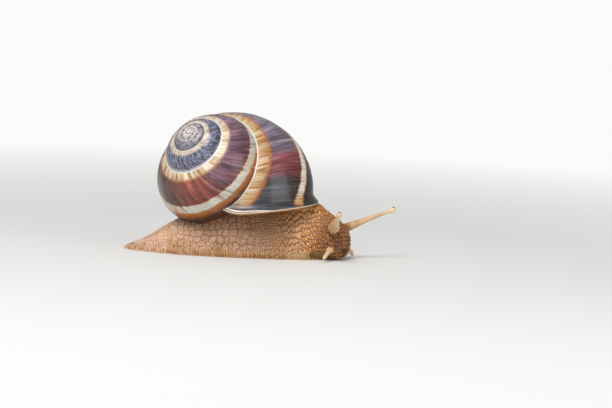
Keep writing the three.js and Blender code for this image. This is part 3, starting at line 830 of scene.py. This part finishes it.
def paved(long, short, slant, jitter, stagger, seed):
    """Cells of a height up the flank and a width along it. The slant is how far a cell's axis
    comes forward per millimetre downwards."""
    bent = 0.3 * soft_noise(at * 0.35, girth * 0.35, seed + 1)
    bent += 0.15 * soft_noise(at * 0.9, girth * 0.9, seed + 2)
    flank_side = np.where(side > 0, OTHER_FLANK, 0)
    along_cells = (at + slant * girth) / short + bent + flank_side + SHIFT
    flank_place = [along_cells, girth / long + bent + SHIFT, 0.5 + 0 * at]
    return cells(np.stack(flank_place, 1), [0, 0, 1], seed, (*jitter, 0), stagger)


slant = 0.7 * ease(at, 36, 54)
block_border, block_own = paved(1.95, 1.75, 0, (0.34, 0.16), 0.0, 21)
wart_border, wart_own = paved(0.85, 0.8, slant, (0.3, 0.36), 0.12, 25)
long_border, long_own = paved(1.9, 0.8, slant, (0.2, 0.4), 0.22, 31)
fold_border, fold_own = paved(3.2, 0.66, 0, (0.3, 0.36), 0.1, 51)
lattice_normal = skin_normals * HEAD_LATTICE
lattice_normal /= np.linalg.norm(lattice_normal, axis=1, keepdims=True)
lattice_place = skin_points / HEAD_LATTICE + SHIFT
head_border, head_own = cells(lattice_place, lattice_normal, 41, (0.24, 0.34, 0.36), 0.25)
block_share = (0.35 + 0.65 * ease(at, 6, 20)) * (1 - ease(at + 0.2 * girth, 35, 43))
blocks = 1 - 0.7 * block_share * (1 - ease(block_border, 0.0, BLOCK_GROOVE))
warty = 0.85 - 0.42 * block_share
warted = blocks * (1 - warty + warty * dome(wart_border))
kinds = (  # height from 0 to 1, own number, depth in millimetres, and where
    (warted, 0.5 * block_own + 0.5 * wart_own, 0.36, (1 - neck) * (1 - fringe)),
    (dome(fold_border, 0.3), fold_own, 0.2, fringe * (1 - head)),
    (dome(long_border), long_own, 0.34, neck * (1 - fringe) * (1 - head)),
    (dome(head_border), head_own, 0.26, head),
)
pavement = sum(top * share for top, _, _, share in kinds)
own = sum(number * share for _, number, _, share in kinds)
depth = sum(deep * share for _, _, deep, share in kinds)
depth *= (0.45 + 0.55 * ease(at, 2, 14)) * (1 - calm)
print("tubercles: depth up to", round(float(depth.max()), 2), "mm")

# %% Folds of the neck's ridge, the mouth and the stalks' roots
OWN_DEPTH = 0.04  # millimetres by which one tubercle may lie deeper than the next
crest = np.exp(-((np.abs(side) - 0.6) / 0.22) ** 2) * ease(at, 46, 50) * (1 - ease(at, 60.5, 61.5))
crest *= ease(height, 8, 10)
slit = np.exp(-((height - 2.75) / 0.3) ** 2 - (side / 1.5) ** 4) * ease(at, 61.2, 62.2)
cleft = np.exp(-(side / 0.26) ** 2) * ease(at, 61.2, 62.4) * (1 - ease(height, 2.4, 3.6))
collar = np.exp(-((stalk_gap - 0.35) / 0.2) ** 2) * (1 - ease(stalk_root, 0.25, 0.4))
folds = 0.28 * crest + 0.5 * slit + 0.4 * cleft + 0.18 * collar
sunk = (1 - pavement) * depth + folds * (1 - mantle_mask) * (1 - underside)
sunk += OWN_DEPTH * own * (1 - calm)
on_floor(skin_mesh, skin_points - skin_normals * sunk[:, None])
skin_mesh.shade_smooth()
groove = np.clip((1 - pavement) * (1 - calm) + 1.2 * (slit + cleft), 0, 1)
skin_values = {
    "groove": groove, "own": own, "along": at, "stalk": stalk_mask, "share": stalk_share,
    "mantle": mantle_mask, "fringe": fringe * (1 - underside),
}
keep_values(skin_mesh, skin_values)
print("grooves up to", round(float(sunk.max()), 2), "mm deep")

# %% [markdown]
# Most of these small faces are wasted where nothing happens. The flat underside becomes a few
# large faces, and the rest is thinned where it is smoothest. Thinning keeps the stored numbers.

# %% Fewer faces
SKIN_TRIANGLES = 194_000
FLAT = 0.004 * MM


def triangles(mesh):
    """How many triangles a mesh's faces make: the corners of each, less two."""
    return sum(len(face.vertices) - 2 for face in mesh.polygons)


sole = bmesh.new()
sole.from_mesh(skin_mesh)
flat = [face for face in sole.faces if all(corner.co.z < FLAT for corner in face.verts)]
bmesh.ops.dissolve_faces(sole, faces=flat, use_verts=True)
bmesh.ops.triangulate(sole, faces=[face for face in sole.faces if len(face.verts) > 4])
sole.to_mesh(skin_mesh)
sole.free()
skin = bpy.data.objects.new("skin", skin_mesh)
bpy.context.scene.collection.objects.link(skin)
skin.data = modified(skin, "DECIMATE", ratio=SKIN_TRIANGLES / triangles(skin_mesh))
skin.modifiers.clear()
print("skin now:", len(skin.data.vertices), "points,", triangles(skin.data), "triangles")

# %% [markdown]
# ## The eyes
# A snail's eye is a dark cup with a clear lens, under the skin of the stalk's tip. It is modelled
# as a small ball that is a little longer towards the front and shows at the top of the bulb.

# %% Eyes
EYE_RADII = EYE_RADIUS * np.array([1, 0.96, 0.97])
eyes = []
for name, bend in STALKS.items():
    centre = bend_points(bend, np.array([EYE_SHARE]))[0] + [0, 0, EYE_LIFT]
    eye = make_object("eyeball_" + name, [ball_grid(centre, EYE_RADII, 17, 32)])
    eyes.append((eye, "eye_" + name))
print("eyes:", 2 * EYE_RADIUS, "mm across")

# %% [markdown]
# ## Materials
# Every material is a small graph of nodes. One function adds a node, sets it up and joins it to
# what feeds it, so that a graph reads from top to bottom like a recipe.


# %% Adding a node
# The sockets that a node's inputs go to, where they are not simply the first ones.
SOCKETS = {
    "Mix": (0, 6, 7),
    "TexNoise": ("Vector", "Scale", "Detail", "Roughness"),
    "Bump": ("Height", "Strength", "Distance"),
}
COLOUR = {"out": 2, "data_type": "RGBA"}
TINT = {**COLOUR, "blend_type": "MULTIPLY"}
TIMES, PLUS = {"operation": "MULTIPLY"}, {"operation": "ADD"}
TIMES_PLUS = {"operation": "MULTIPLY_ADD"}


def add_node(tree, kind, *inputs, named=None, out=0, stops=(), **settings):
    """Adds a node and returns one of its outputs. Inputs are values, hex colours or other nodes'
    outputs, in the order of the sockets or named. Stops are (position, colour) pairs of a colour
    ramp, and settings are the node's own."""
    made = tree.nodes.new("ShaderNode" + kind)
    for name, value in settings.items():
        setattr(made, name, value)
    for i, (position, colour) in enumerate(stops):
        ramp = made.color_ramp.elements
        stop = ramp[i] if i < 2 else ramp.new(position)
        stop.position, stop.color = position, linear(colour)
    order = SOCKETS.get(kind, range(len(inputs)))
    for socket, value in {**dict(zip(order, inputs)), **(named or {})}.items():
        if isinstance(value, bpy.types.NodeSocket):
            tree.links.new(value, made.inputs[socket])
        else:
            made.inputs[socket].default_value = linear(value) if isinstance(value, str) else value
    return made.outputs[out] if made.outputs else made


def layered(add, colour, *layers):
    """Lays colours over a first one in turn: (share, colour, COLOUR or TINT) for each layer."""
    for share, over, way in layers:
        colour = add("Mix", share, colour, over, **way)
    return colour


def new_material(name):
    """An empty material, and the function that adds a node to it."""
    material = bpy.data.materials.new(name)
    material.use_nodes = True
    material.node_tree.nodes.clear()
    return material, functools.partial(add_node, material.node_tree)


print("a mix takes its share and two colours at", SOCKETS["Mix"])

# %% [markdown]
# ### Shell: aragonite under a thin horny coat
# The shell is chalky aragonite laid down in layers, with a thin brown skin of horn over them.
# It is smooth and glossy, with fine lines of growth. The pigment comes from spots along the
# mantle's edge that were always in the same place, which gives spiral bands, and they worked
# harder in some weeks than in others, which gives streaks along the lines of growth.

# %% Shell material
shell_material, add = new_material("aragonite_with_horny_coat")
turn_in, profile_in, growth_in, rim_in = (
    add("Attribute", attribute_name=name, out="Fac") for name in shell_values
)
TURN_LENGTH = 113  # millimetres round the last whorl
STREAK_WIDTHS = (0.3, 0.75, 2.0, 7.0)


def streaks(millimetres, down, detail, seed):
    """Noise that is long down the profile and as narrow as the given width along the growth."""
    x = add("Math", growth_in, TURN_LENGTH / millimetres, **TIMES)
    y = add("Math", profile_in, down, **TIMES)
    place = add("CombineXYZ", x, y, seed)
    return add("TexNoise", place, 1, detail, 0.6)


hair, fine, medium, broad = (
    streaks(width, down, detail, seed)
    for width, down, detail, seed in zip(STREAK_WIDTHS, (4, 5, 2.4, 1), (1, 2, 2, 2), (1, 2, 3, 4))
)
print("streaks:", [round(TURN_LENGTH / width) for width in STREAK_WIDTHS], "a turn")

# %% Where the bands run
ragged = add("MapRange", profile_in, 0.12, 0.32, 0.04, 0.02)
steadier = add("MapRange", growth_in, 0.3, 0.8, 0.5, 1)
ragged = add("Math", ragged, steadier, **TIMES)
shift = add("Math", fine, hair, **PLUS)
shift = add("Math", shift, -1, **PLUS)
shift = add("Math", shift, ragged, profile_in, **TIMES_PLUS)
slow = add("Math", medium, 0.04, -0.02, **TIMES_PLUS)
place = add("Math", shift, slow, **PLUS)
half_place = add("Math", place, 0.5, **TIMES)


def band_masks(stops):
    """Red for the cream band, green for the dark one, blue for the white one, black between."""
    return add("ValToRGB", half_place, stops=[(v / 2, colour) for v, colour in stops])


CREAM, DARK, WHITE, NONE = "#ff0000", "#00ff00", "#0000ff", "#000000"
BASE_BANDS = [(0.76, DARK), (0.8, NONE), (0.9, NONE), (0.95, DARK), (1.1, DARK), (1.2, NONE)]
lip_masks = band_masks([
    (0, CREAM), (0.088, CREAM), (0.102, NONE), (0.118, DARK), (0.392, DARK), (0.402, NONE),
    (0.412, WHITE), (0.462, WHITE), (0.472, NONE), (0.486, DARK), *BASE_BANDS,
])
young_masks = band_masks([
    (0, CREAM), (0.082, CREAM), (0.122, DARK), (0.362, DARK), (0.376, NONE), (0.388, WHITE),
    (0.468, WHITE), (0.49, NONE), (0.58, NONE), (0.64, DARK), *BASE_BANDS,
])
old_masks = band_masks([
    (0, CREAM), (0.082, CREAM), (0.112, DARK), (0.318, DARK), (0.336, WHITE), (0.5, WHITE),
])
from_lip = add("MapRange", growth_in, 0.3, 0.5)
is_old = add("MapRange", growth_in, 1.38, 1.7)
masks = layered(add, lip_masks, (from_lip, young_masks, COLOUR), (is_old, old_masks, COLOUR))
apart = add("SeparateColor", masks, out=slice(0, 3))

# %% The ground colour, with painted shade at the base, and the light bands
# Towards the base (0.278 to 0.36 on this ramp) the ground turns dark brown: partly its own colour,
# partly painted shade where the shell's underside meets the foot.
ground = add("ValToRGB", half_place, stops=[
    (0, "#b87a3e"), (0.06, "#a8602a"), (0.185, "#8c3d16"), (0.196, "#a3561e"), (0.235, "#b0661a"),
    (0.258, "#a8600c"), (0.278, "#7c400a"), (0.3, "#462006"), (0.36, "#2a1003"), (0.4, "#8a4f1c"),
    (0.43, "#a8703a"), (0.46, "#6a3c16"), (0.6, "#7a4a24"), (0.85, "#b08c68"),
])
mixed = add("Math", fine, 0.45, -0.225, **TIMES_PLUS)
mixed = add("Math", mixed, medium, **PLUS)
mixed = add("Math", broad, 0.5, mixed, **TIMES_PLUS)
mixed = add("Math", mixed, -0.25, **PLUS)
creams = add("ValToRGB", mixed, stops=[
    (0.3, "#8d5a34"), (0.38, "#b98a55"), (0.44, "#d6b282"), (0.5, "#dfc497"), (0.56, "#ead9b6"),
    (0.64, "#f4ecdb"),
])
outward = add("MapRange", place, 0.035, 0.105, 0, 0.62)
calmer = add("MapRange", growth_in, 0.2, 1.3, 1, 0.3)
outward = add("Math", outward, calmer, **TIMES)
greyer = add("MapRange", growth_in, 0.25, 0.9, 1, 0)
chalky = add("MapRange", growth_in, 0.8, 1.7, 0, 0.5)
creams = layered(
    add, creams,
    (outward, "#b97435", COLOUR), (greyer, "#ecdfd4", TINT), (chalky, "#c9c3c0", COLOUR),
)
whites_place = add("MapRange", growth_in, 0, 2)
whites = add("ValToRGB", whites_place, stops=[
    (0.015, "#b07838"), (0.026, "#d9bd90"), (0.036, "#e2ddd0"), (0.36, "#d9b98c"),
    (0.42, "#d8d3c6"), (0.5, "#d6d0c2"), (0.545, "#c4b9a4"), (0.62, "#b9bcc0"), (0.85, "#b2b7c0"),
])
crossed = add("MapRange", mixed, 0.41, 0.35, 0, 0.8)
whites = add("Mix", crossed, whites, "#a06a34", **COLOUR)

# %% The dark band, how it changed with the seasons, and a painted sky sheen on it
season_place = add("MapRange", growth_in, 0, 2)
# Partly the band's own colour, partly painted light: the lavender stops from 0.1 to 0.2 lay a
# painted reflection of the bright sky on the top of the last whorl, over the band's own
# purple-brown.
season_and_sky_sheen = add("ValToRGB", season_place, stops=[
    (0, "#43474c"), (0.052, "#46454a"), (0.064, "#7a3a40"), (0.088, "#8a4b4d"), (0.1, "#78697f"),
    (0.145, "#8a7a92"), (0.2, "#8c7480"), (0.3, "#66403a"), (0.36, "#653f32"), (0.4, "#4f2e28"),
    (0.425, "#7d4234"), (0.445, "#9a4c38"), (0.48, "#97493a"), (0.5, "#765260"), (0.56, "#7c5a68"),
    (0.64, "#7f6072"), (0.74, "#5d5870"), (1, "#524f6c"),
])
lower = add("ValToRGB", half_place, stops=[
    (0.05, "#ffffff"), (0.1, "#fbf6f8"), (0.145, "#d8ccd0"), (0.186, "#dca088"), (0.24, "#7c766c"),
    (0.4, "#5c4c3e"),
])
deep = add("MapRange", mixed, 0.32, 0.68, 0.5, 1.45)
season_and_sky_sheen = layered(add, season_and_sky_sheen, (1, lower, TINT), (1, deep, TINT))
bands = zip(apart, (creams, season_and_sky_sheen, whites))
banded = layered(add, ground, *((mask, band, COLOUR) for mask, band in bands))
print("bands:", len(apart), "on the ground colour")

# %% Hairlines of growth; the pale ones are partly painted glints
dark_hair = add("MapRange", hair, 0.46, 0.34, 1, 0.6)
# Pale hairlines: partly pale lines of growth, partly painted glints along them, kept off the base.
pale_hair_and_glint = add("MapRange", hair, 0.60, 0.70, 0, 0.34)
patchy = add("MapRange", broad, 0.42, 0.6, 0.3, 1)
above_base = add("MapRange", profile_in, 0.6, 0.48)
pale_hair_and_glint = add("Math", pale_hair_and_glint, patchy, **TIMES)
pale_hair_and_glint = add("Math", pale_hair_and_glint, above_base, **TIMES)
weather = add("MapRange", broad, 0.3, 0.7, 0.82, 1.15)

# %% The worn top of the spire, with painted shade on the lower side of its whorls
chalk = streaks(1.5, 13, 4, 5)
chalk = add("MapRange", chalk, 0.46, 0.62, 0, 0.7)
old_dark = add("Math", is_old, apart[1], **TIMES)
chalk = add("Math", chalk, old_dark, **TIMES)
object_place = add("TexCoord", out="Object")
pit = add("TexNoise", object_place, 1 / (0.8 * MM), 3.0)
ribs = add("Math", pit, mixed, **PLUS)
middle_tip = add("ValToRGB", ribs, stops=[(0.8, "#463d49"), (0.93, "#7b727f"), (1, "#a9a2ab")])
last_tip = add("ValToRGB", pit, stops=[(0.38, "#6b4c40"), (0.46, "#bcaaa2"), (0.6, "#e0d7d4")])
older_tip = add("MapRange", turn_in, 3.1, 3.7)
# Painted shade: the lower side of each whorl at the tip darkens towards #4d3c3c, a shadow under
# the whorl's bulge.
painted_shade_low_side = add("MapRange", place, 0.12, 0.26, 0, 0.6)
tip = layered(add, middle_tip, (older_tip, last_tip, COLOUR), (painted_shade_low_side, "#4d3c3c", COLOUR))
is_tip = add("MapRange", turn_in, 2.55, 2.75, 0, 0.8)

# %% Suture, scars of growth, the dark edge and the lip
seam_width = add("MapRange", turn_in, 1.6, 3.6, 0.008, 0.05)
seam = add("Math", profile_in, seam_width, operation="DIVIDE")
seam = add("MapRange", seam, 1.2, 0.5, 0, 0.85)
rest_place = add("MapRange", growth_in, 0, 1.25)
scar = add("ValToRGB", rest_place, stops=[
    (0.148, 0.0), (0.1505, 0.55), (0.153, 0.0), (0.1715, 0.0), (0.1745, 0.75), (0.1775, 0.0),
    (0.77, 0.0), (0.774, 0.35), (0.778, 0.0), (0.852, 0.0), (0.8545, 0.45), (0.857, 0.0),
])
worn = add("MapRange", fine, 0.35, 0.6, 0.3, 1)
scar = add("Math", scar, worn, **TIMES)
edge = add("MapRange", growth_in, 0.036, 0.024, 0, 0.85)
edge_colour = add("ValToRGB", fine, stops=[(0.35, "#2a2a2e"), (0.65, "#5a5b63")])
lip_place = add("MapRange", growth_in, 0, 0.02)
lip = add("ValToRGB", lip_place, stops=[
    (0, "#e6d9c2"), (0.16, "#dfcfb2"), (0.24, "#7b4f42"), (0.34, "#7b4f42"), (0.42, "#ddd3c6"),
    (0.54, "#ddd3c6"), (0.64, "#3a3a3d"),
])
lip_share = add("MapRange", growth_in, 0.015, 0.012)

# %% All layers of the shell's colour, with gloss and relief
# The pale hairline colour #d8c8c4 below is partly a painted glint along the lines of growth.
finished = layered(
    add, banded,
    (1, dark_hair, TINT), (pale_hair_and_glint, "#d8c8c4", COLOUR), (1, weather, TINT),
    (chalk, "#a3adbd", COLOUR), (is_tip, tip, COLOUR), (seam, "#e6e3dd", COLOUR),
    (scar, "#e3d3c6", COLOUR), (edge, edge_colour, COLOUR), (lip_share, lip, COLOUR),
    (rim_in, "#e2d3b8", COLOUR),
)
lines = add("Math", fine, hair, **PLUS)
bump = add("Bump", lines, 0.5, 0.04 * MM)
shine = add("MapRange", fine, 0.3, 0.8, 0.16, 0.34)
add("OutputMaterial", add("BsdfPrincipled", named={
    "Base Color": finished, "Roughness": shine, "IOR": 1.53, "Normal": bump,
    "Coat Weight": 0.15, "Coat Roughness": 0.08,
}))
shell.data.materials.append(shell_material)
print("shell material:", len(shell_material.node_tree.nodes), "nodes")

# %% [markdown]
# ### Skin: wet, grainy hide
# Snail skin is thin, moist and a little see-through: the tops of the tubercles are pale, pinkish
# on the tail and tan on the foot, and the grooves hold brown pigment. Neck and head are warmer and
# darker, and the stalks are smooth and pale. A thin layer of slime gives it a soft gloss.

# %% Skin material
skin_material, add = new_material("moist_snail_skin")
values = {name: add("Attribute", attribute_name=name, out="Fac") for name in skin_values}
object_place = add("TexCoord", out="Object")
body_share = add("MapRange", values["along"], 0, BODY_LENGTH)
tops = add("ValToRGB", body_share, stops=[
    (0, "#f2d0ba"), (0.18, "#efcbb1"), (0.36, "#cca585"), (0.6, "#b59072"), (0.7, "#bd8f60"),
    (0.8, "#eabb8a"), (0.88, "#dda468"), (0.93, "#bb8140"), (1, "#a97030"),
])
grooves = add("ValToRGB", body_share, stops=[
    (0, "#c08c66"), (0.18, "#b37f4f"), (0.36, "#875520"), (0.6, "#6f4412"), (0.7, "#74460f"),
    (0.8, "#8e5518"), (0.88, "#844b10"), (0.93, "#5e2f04"), (1, "#542a02"),
])
own_tint = add("MapRange", values["own"], 0, 1, 0.86, 1.1)
tops = add("Mix", 1, tops, own_tint, **TINT)
groove_amount = add("MapRange", values["groove"], 0.2, 0.9)
pavement = add("Mix", groove_amount, tops, grooves, **COLOUR)
edge_tops = add("ValToRGB", body_share, stops=[
    (0.12, "#d3a884"), (0.45, "#b0824a"), (0.65, "#ad7f45"), (0.85, "#ac8a60"),
])
edge_grooves = add("ValToRGB", body_share, stops=[
    (0.12, "#a97b50"), (0.45, "#7c4e14"), (0.65, "#75480c"), (0.85, "#6f4c24"),
])
edge = add("Mix", groove_amount, edge_tops, edge_grooves, **COLOUR)
edge_share = add("Math", values["fringe"], 0.8, **TIMES)

# %% Stalks, mantle and small changes
stalk_colour = add("ValToRGB", values["share"], stops=[
    (0, "#c09566"), (0.15, "#d3ac80"), (0.6, "#dabb98"), (0.9, "#e6d1ab"), (1, "#e6d0a2"),
])
cloud = add("TexNoise", object_place, 1 / (5 * MM), 4.0)
cloud = add("ValToRGB", cloud, stops=[(0.34, "#e8d8c4"), (0.5, "#ffffff"), (0.66, "#f4ecf0")])
clouded = layered(
    add, pavement, (edge_share, edge, COLOUR), (values["stalk"], stalk_colour, COLOUR),
    (values["mantle"], "#a5702f", COLOUR), (1, cloud, TINT),
)
grain = add("TexNoise", object_place, 1 / (0.25 * MM), 2.0)
bump = add("Bump", grain, 0.4, 0.05 * MM)
wet = add("MapRange", grain, 0.3, 0.7, 0.3, 0.5)
add("OutputMaterial", add("BsdfPrincipled", named={
    "Base Color": clouded, "Roughness": wet, "IOR": 1.38, "Normal": bump,
    "Subsurface Weight": 0.2, "Subsurface Radius": (1.0, 0.5, 0.25), "Subsurface Scale": 0.8 * MM,
    "Coat Weight": 0.35, "Coat Roughness": 0.16,
}))
skin.data.materials.append(skin_material)
print("skin material:", len(skin_material.node_tree.nodes), "nodes")

# %% Eye material: a dark cup behind a clear lens
eye_material, add = new_material("eye_cup_and_lens")
object_place = add("TexCoord", out="Object")
fleck = add("TexNoise", object_place, 1 / (0.2 * MM), 2.0)
colour = add("ValToRGB", fleck, stops=[(0.35, "#4a3d33"), (0.65, "#7d6d5c")])
add("OutputMaterial", add("BsdfPrincipled", named={
    "Base Color": colour, "Roughness": 0.18, "IOR": 1.4,
    "Coat Weight": 0.5, "Coat Roughness": 0.05,
}))
for eye, _ in eyes:
    eye.data.materials.append(eye_material)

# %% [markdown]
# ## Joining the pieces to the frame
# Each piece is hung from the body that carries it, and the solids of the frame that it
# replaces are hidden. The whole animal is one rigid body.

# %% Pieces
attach(shell, "root")
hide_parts("shell_tip", "shell_spire", "shell_body_whorl", "shell_lip")
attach(skin, "root")
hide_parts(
    "mantle_collar", "tail", "foot", "neck", "head", "foot_sole", "mouth_lobes",
    "eyestalk_base_left", "eyestalk_shaft_left", "eyestalk_bulb_left",
    "eyestalk_base_right", "eyestalk_shaft_right", "eyestalk_bulb_right",
    "lower_feeler_left", "lower_feeler_right",
)
for eye, node in eyes:
    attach(eye, "root")
    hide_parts(node)

# %% [markdown]
# ## Floor, light and camera
# A pale floor fades into an even white, so that no horizon shows, but keeps the soft shadow.
# Light comes from a wide softbox above and from the whole surroundings, like an overcast sky.

# %% Floor
floor_material, add = new_material("pale_studio_floor")
object_place = add("TexCoord", out="Object")
distance = add("VectorMath", object_place, out="Value", operation="LENGTH")
FADE_START, FADE_END = 0.10, 0.32
fade = add("MapRange", distance, FADE_START, FADE_END)
paint = add("BsdfPrincipled", named={"Base Color": "#e9e9e7", "Roughness": 0.8})
glow = add("Emission", "#fbfbfa", 1)
path = add("LightPath", out="Is Camera Ray")
fade = add("Math", fade, path, **TIMES)
add("OutputMaterial", add("MixShader", fade, paint, glow))
FLOOR_HALF = 3  # metres
corners = [(x * FLOOR_HALF, y * FLOOR_HALF, 0) for x, y in ((-1, -1), (1, -1), (1, 1), (-1, 1))]
print("the floor fades from", FADE_START, "to", FADE_END, "m")
floor_mesh = bpy.data.meshes.new("floor")
floor_mesh.from_pydata(corners, [], [(0, 1, 2, 3)])
floor_mesh.materials.append(floor_material)
floor = bpy.data.objects.new("floor", floor_mesh)
bpy.context.scene.collection.objects.link(floor)

# %% Surroundings and softboxes
world = bpy.data.worlds.new("studio")
world.use_nodes = True
bpy.context.scene.world = world
world.node_tree.nodes.clear()
add = functools.partial(add_node, world.node_tree)
path = add("LightPath", out="Is Camera Ray")
around = add("Background", "#ffffff", 0.42)
seen = add("Background", "#fbfbfa", 1)
add("OutputWorld", add("MixShader", path, around, seen))


LOOK_AT = np.array([0.0, -0.005, 0.015])


def softbox(name, place, size, watts):
    """A square lamp that looks at the middle of the animal."""
    lamp = bpy.data.lights.new(name, "AREA")
    lamp.size, lamp.energy = size, watts
    made = bpy.data.objects.new(name, lamp)
    made.location = place
    made.rotation_euler = Vector(LOOK_AT - place).to_track_quat("-Z", "Y").to_euler()
    bpy.context.scene.collection.objects.link(made)


softbox("key", (-0.12, -0.34, 0.5), 0.3, 2.6)
softbox("fill", (0.5, -0.45, 0.25), 0.4, 0.7)

# %% Camera
ELEVATION, ROLL, DISTANCE, FRAME_WIDTH = math.radians(6), math.radians(2.5), 0.9, 167.1 * MM
SENSOR, MIDDLE_RIGHT, MIDDLE_UP = 36, 20.2049 * MM, 13.3517 * MM
scene = bpy.context.scene
back_way = np.array([0, -math.cos(ELEVATION), math.sin(ELEVATION)])
plain_up = np.array([0, math.sin(ELEVATION), math.cos(ELEVATION)])
right = np.array([math.cos(ROLL), 0, 0]) + math.sin(ROLL) * plain_up
up = -np.array([math.sin(ROLL), 0, 0]) + math.cos(ROLL) * plain_up
middle = MIDDLE_RIGHT * right + MIDDLE_UP * up
camera_data = bpy.data.cameras.new("camera")
camera_data.sensor_width = SENSOR
camera_data.lens = SENSOR * DISTANCE / FRAME_WIDTH
camera = bpy.data.objects.new("camera", camera_data)
turned = Matrix([list(v) for v in np.stack([right, up, back_way], 1)]).to_4x4()
turned.translation = Vector(middle + DISTANCE * back_way)
camera.matrix_world = turned
scene.collection.objects.link(camera)
scene.camera = camera
scene.view_settings.view_transform = "Standard"
print("camera at", [round(v, 3) for v in camera.matrix_world.translation])
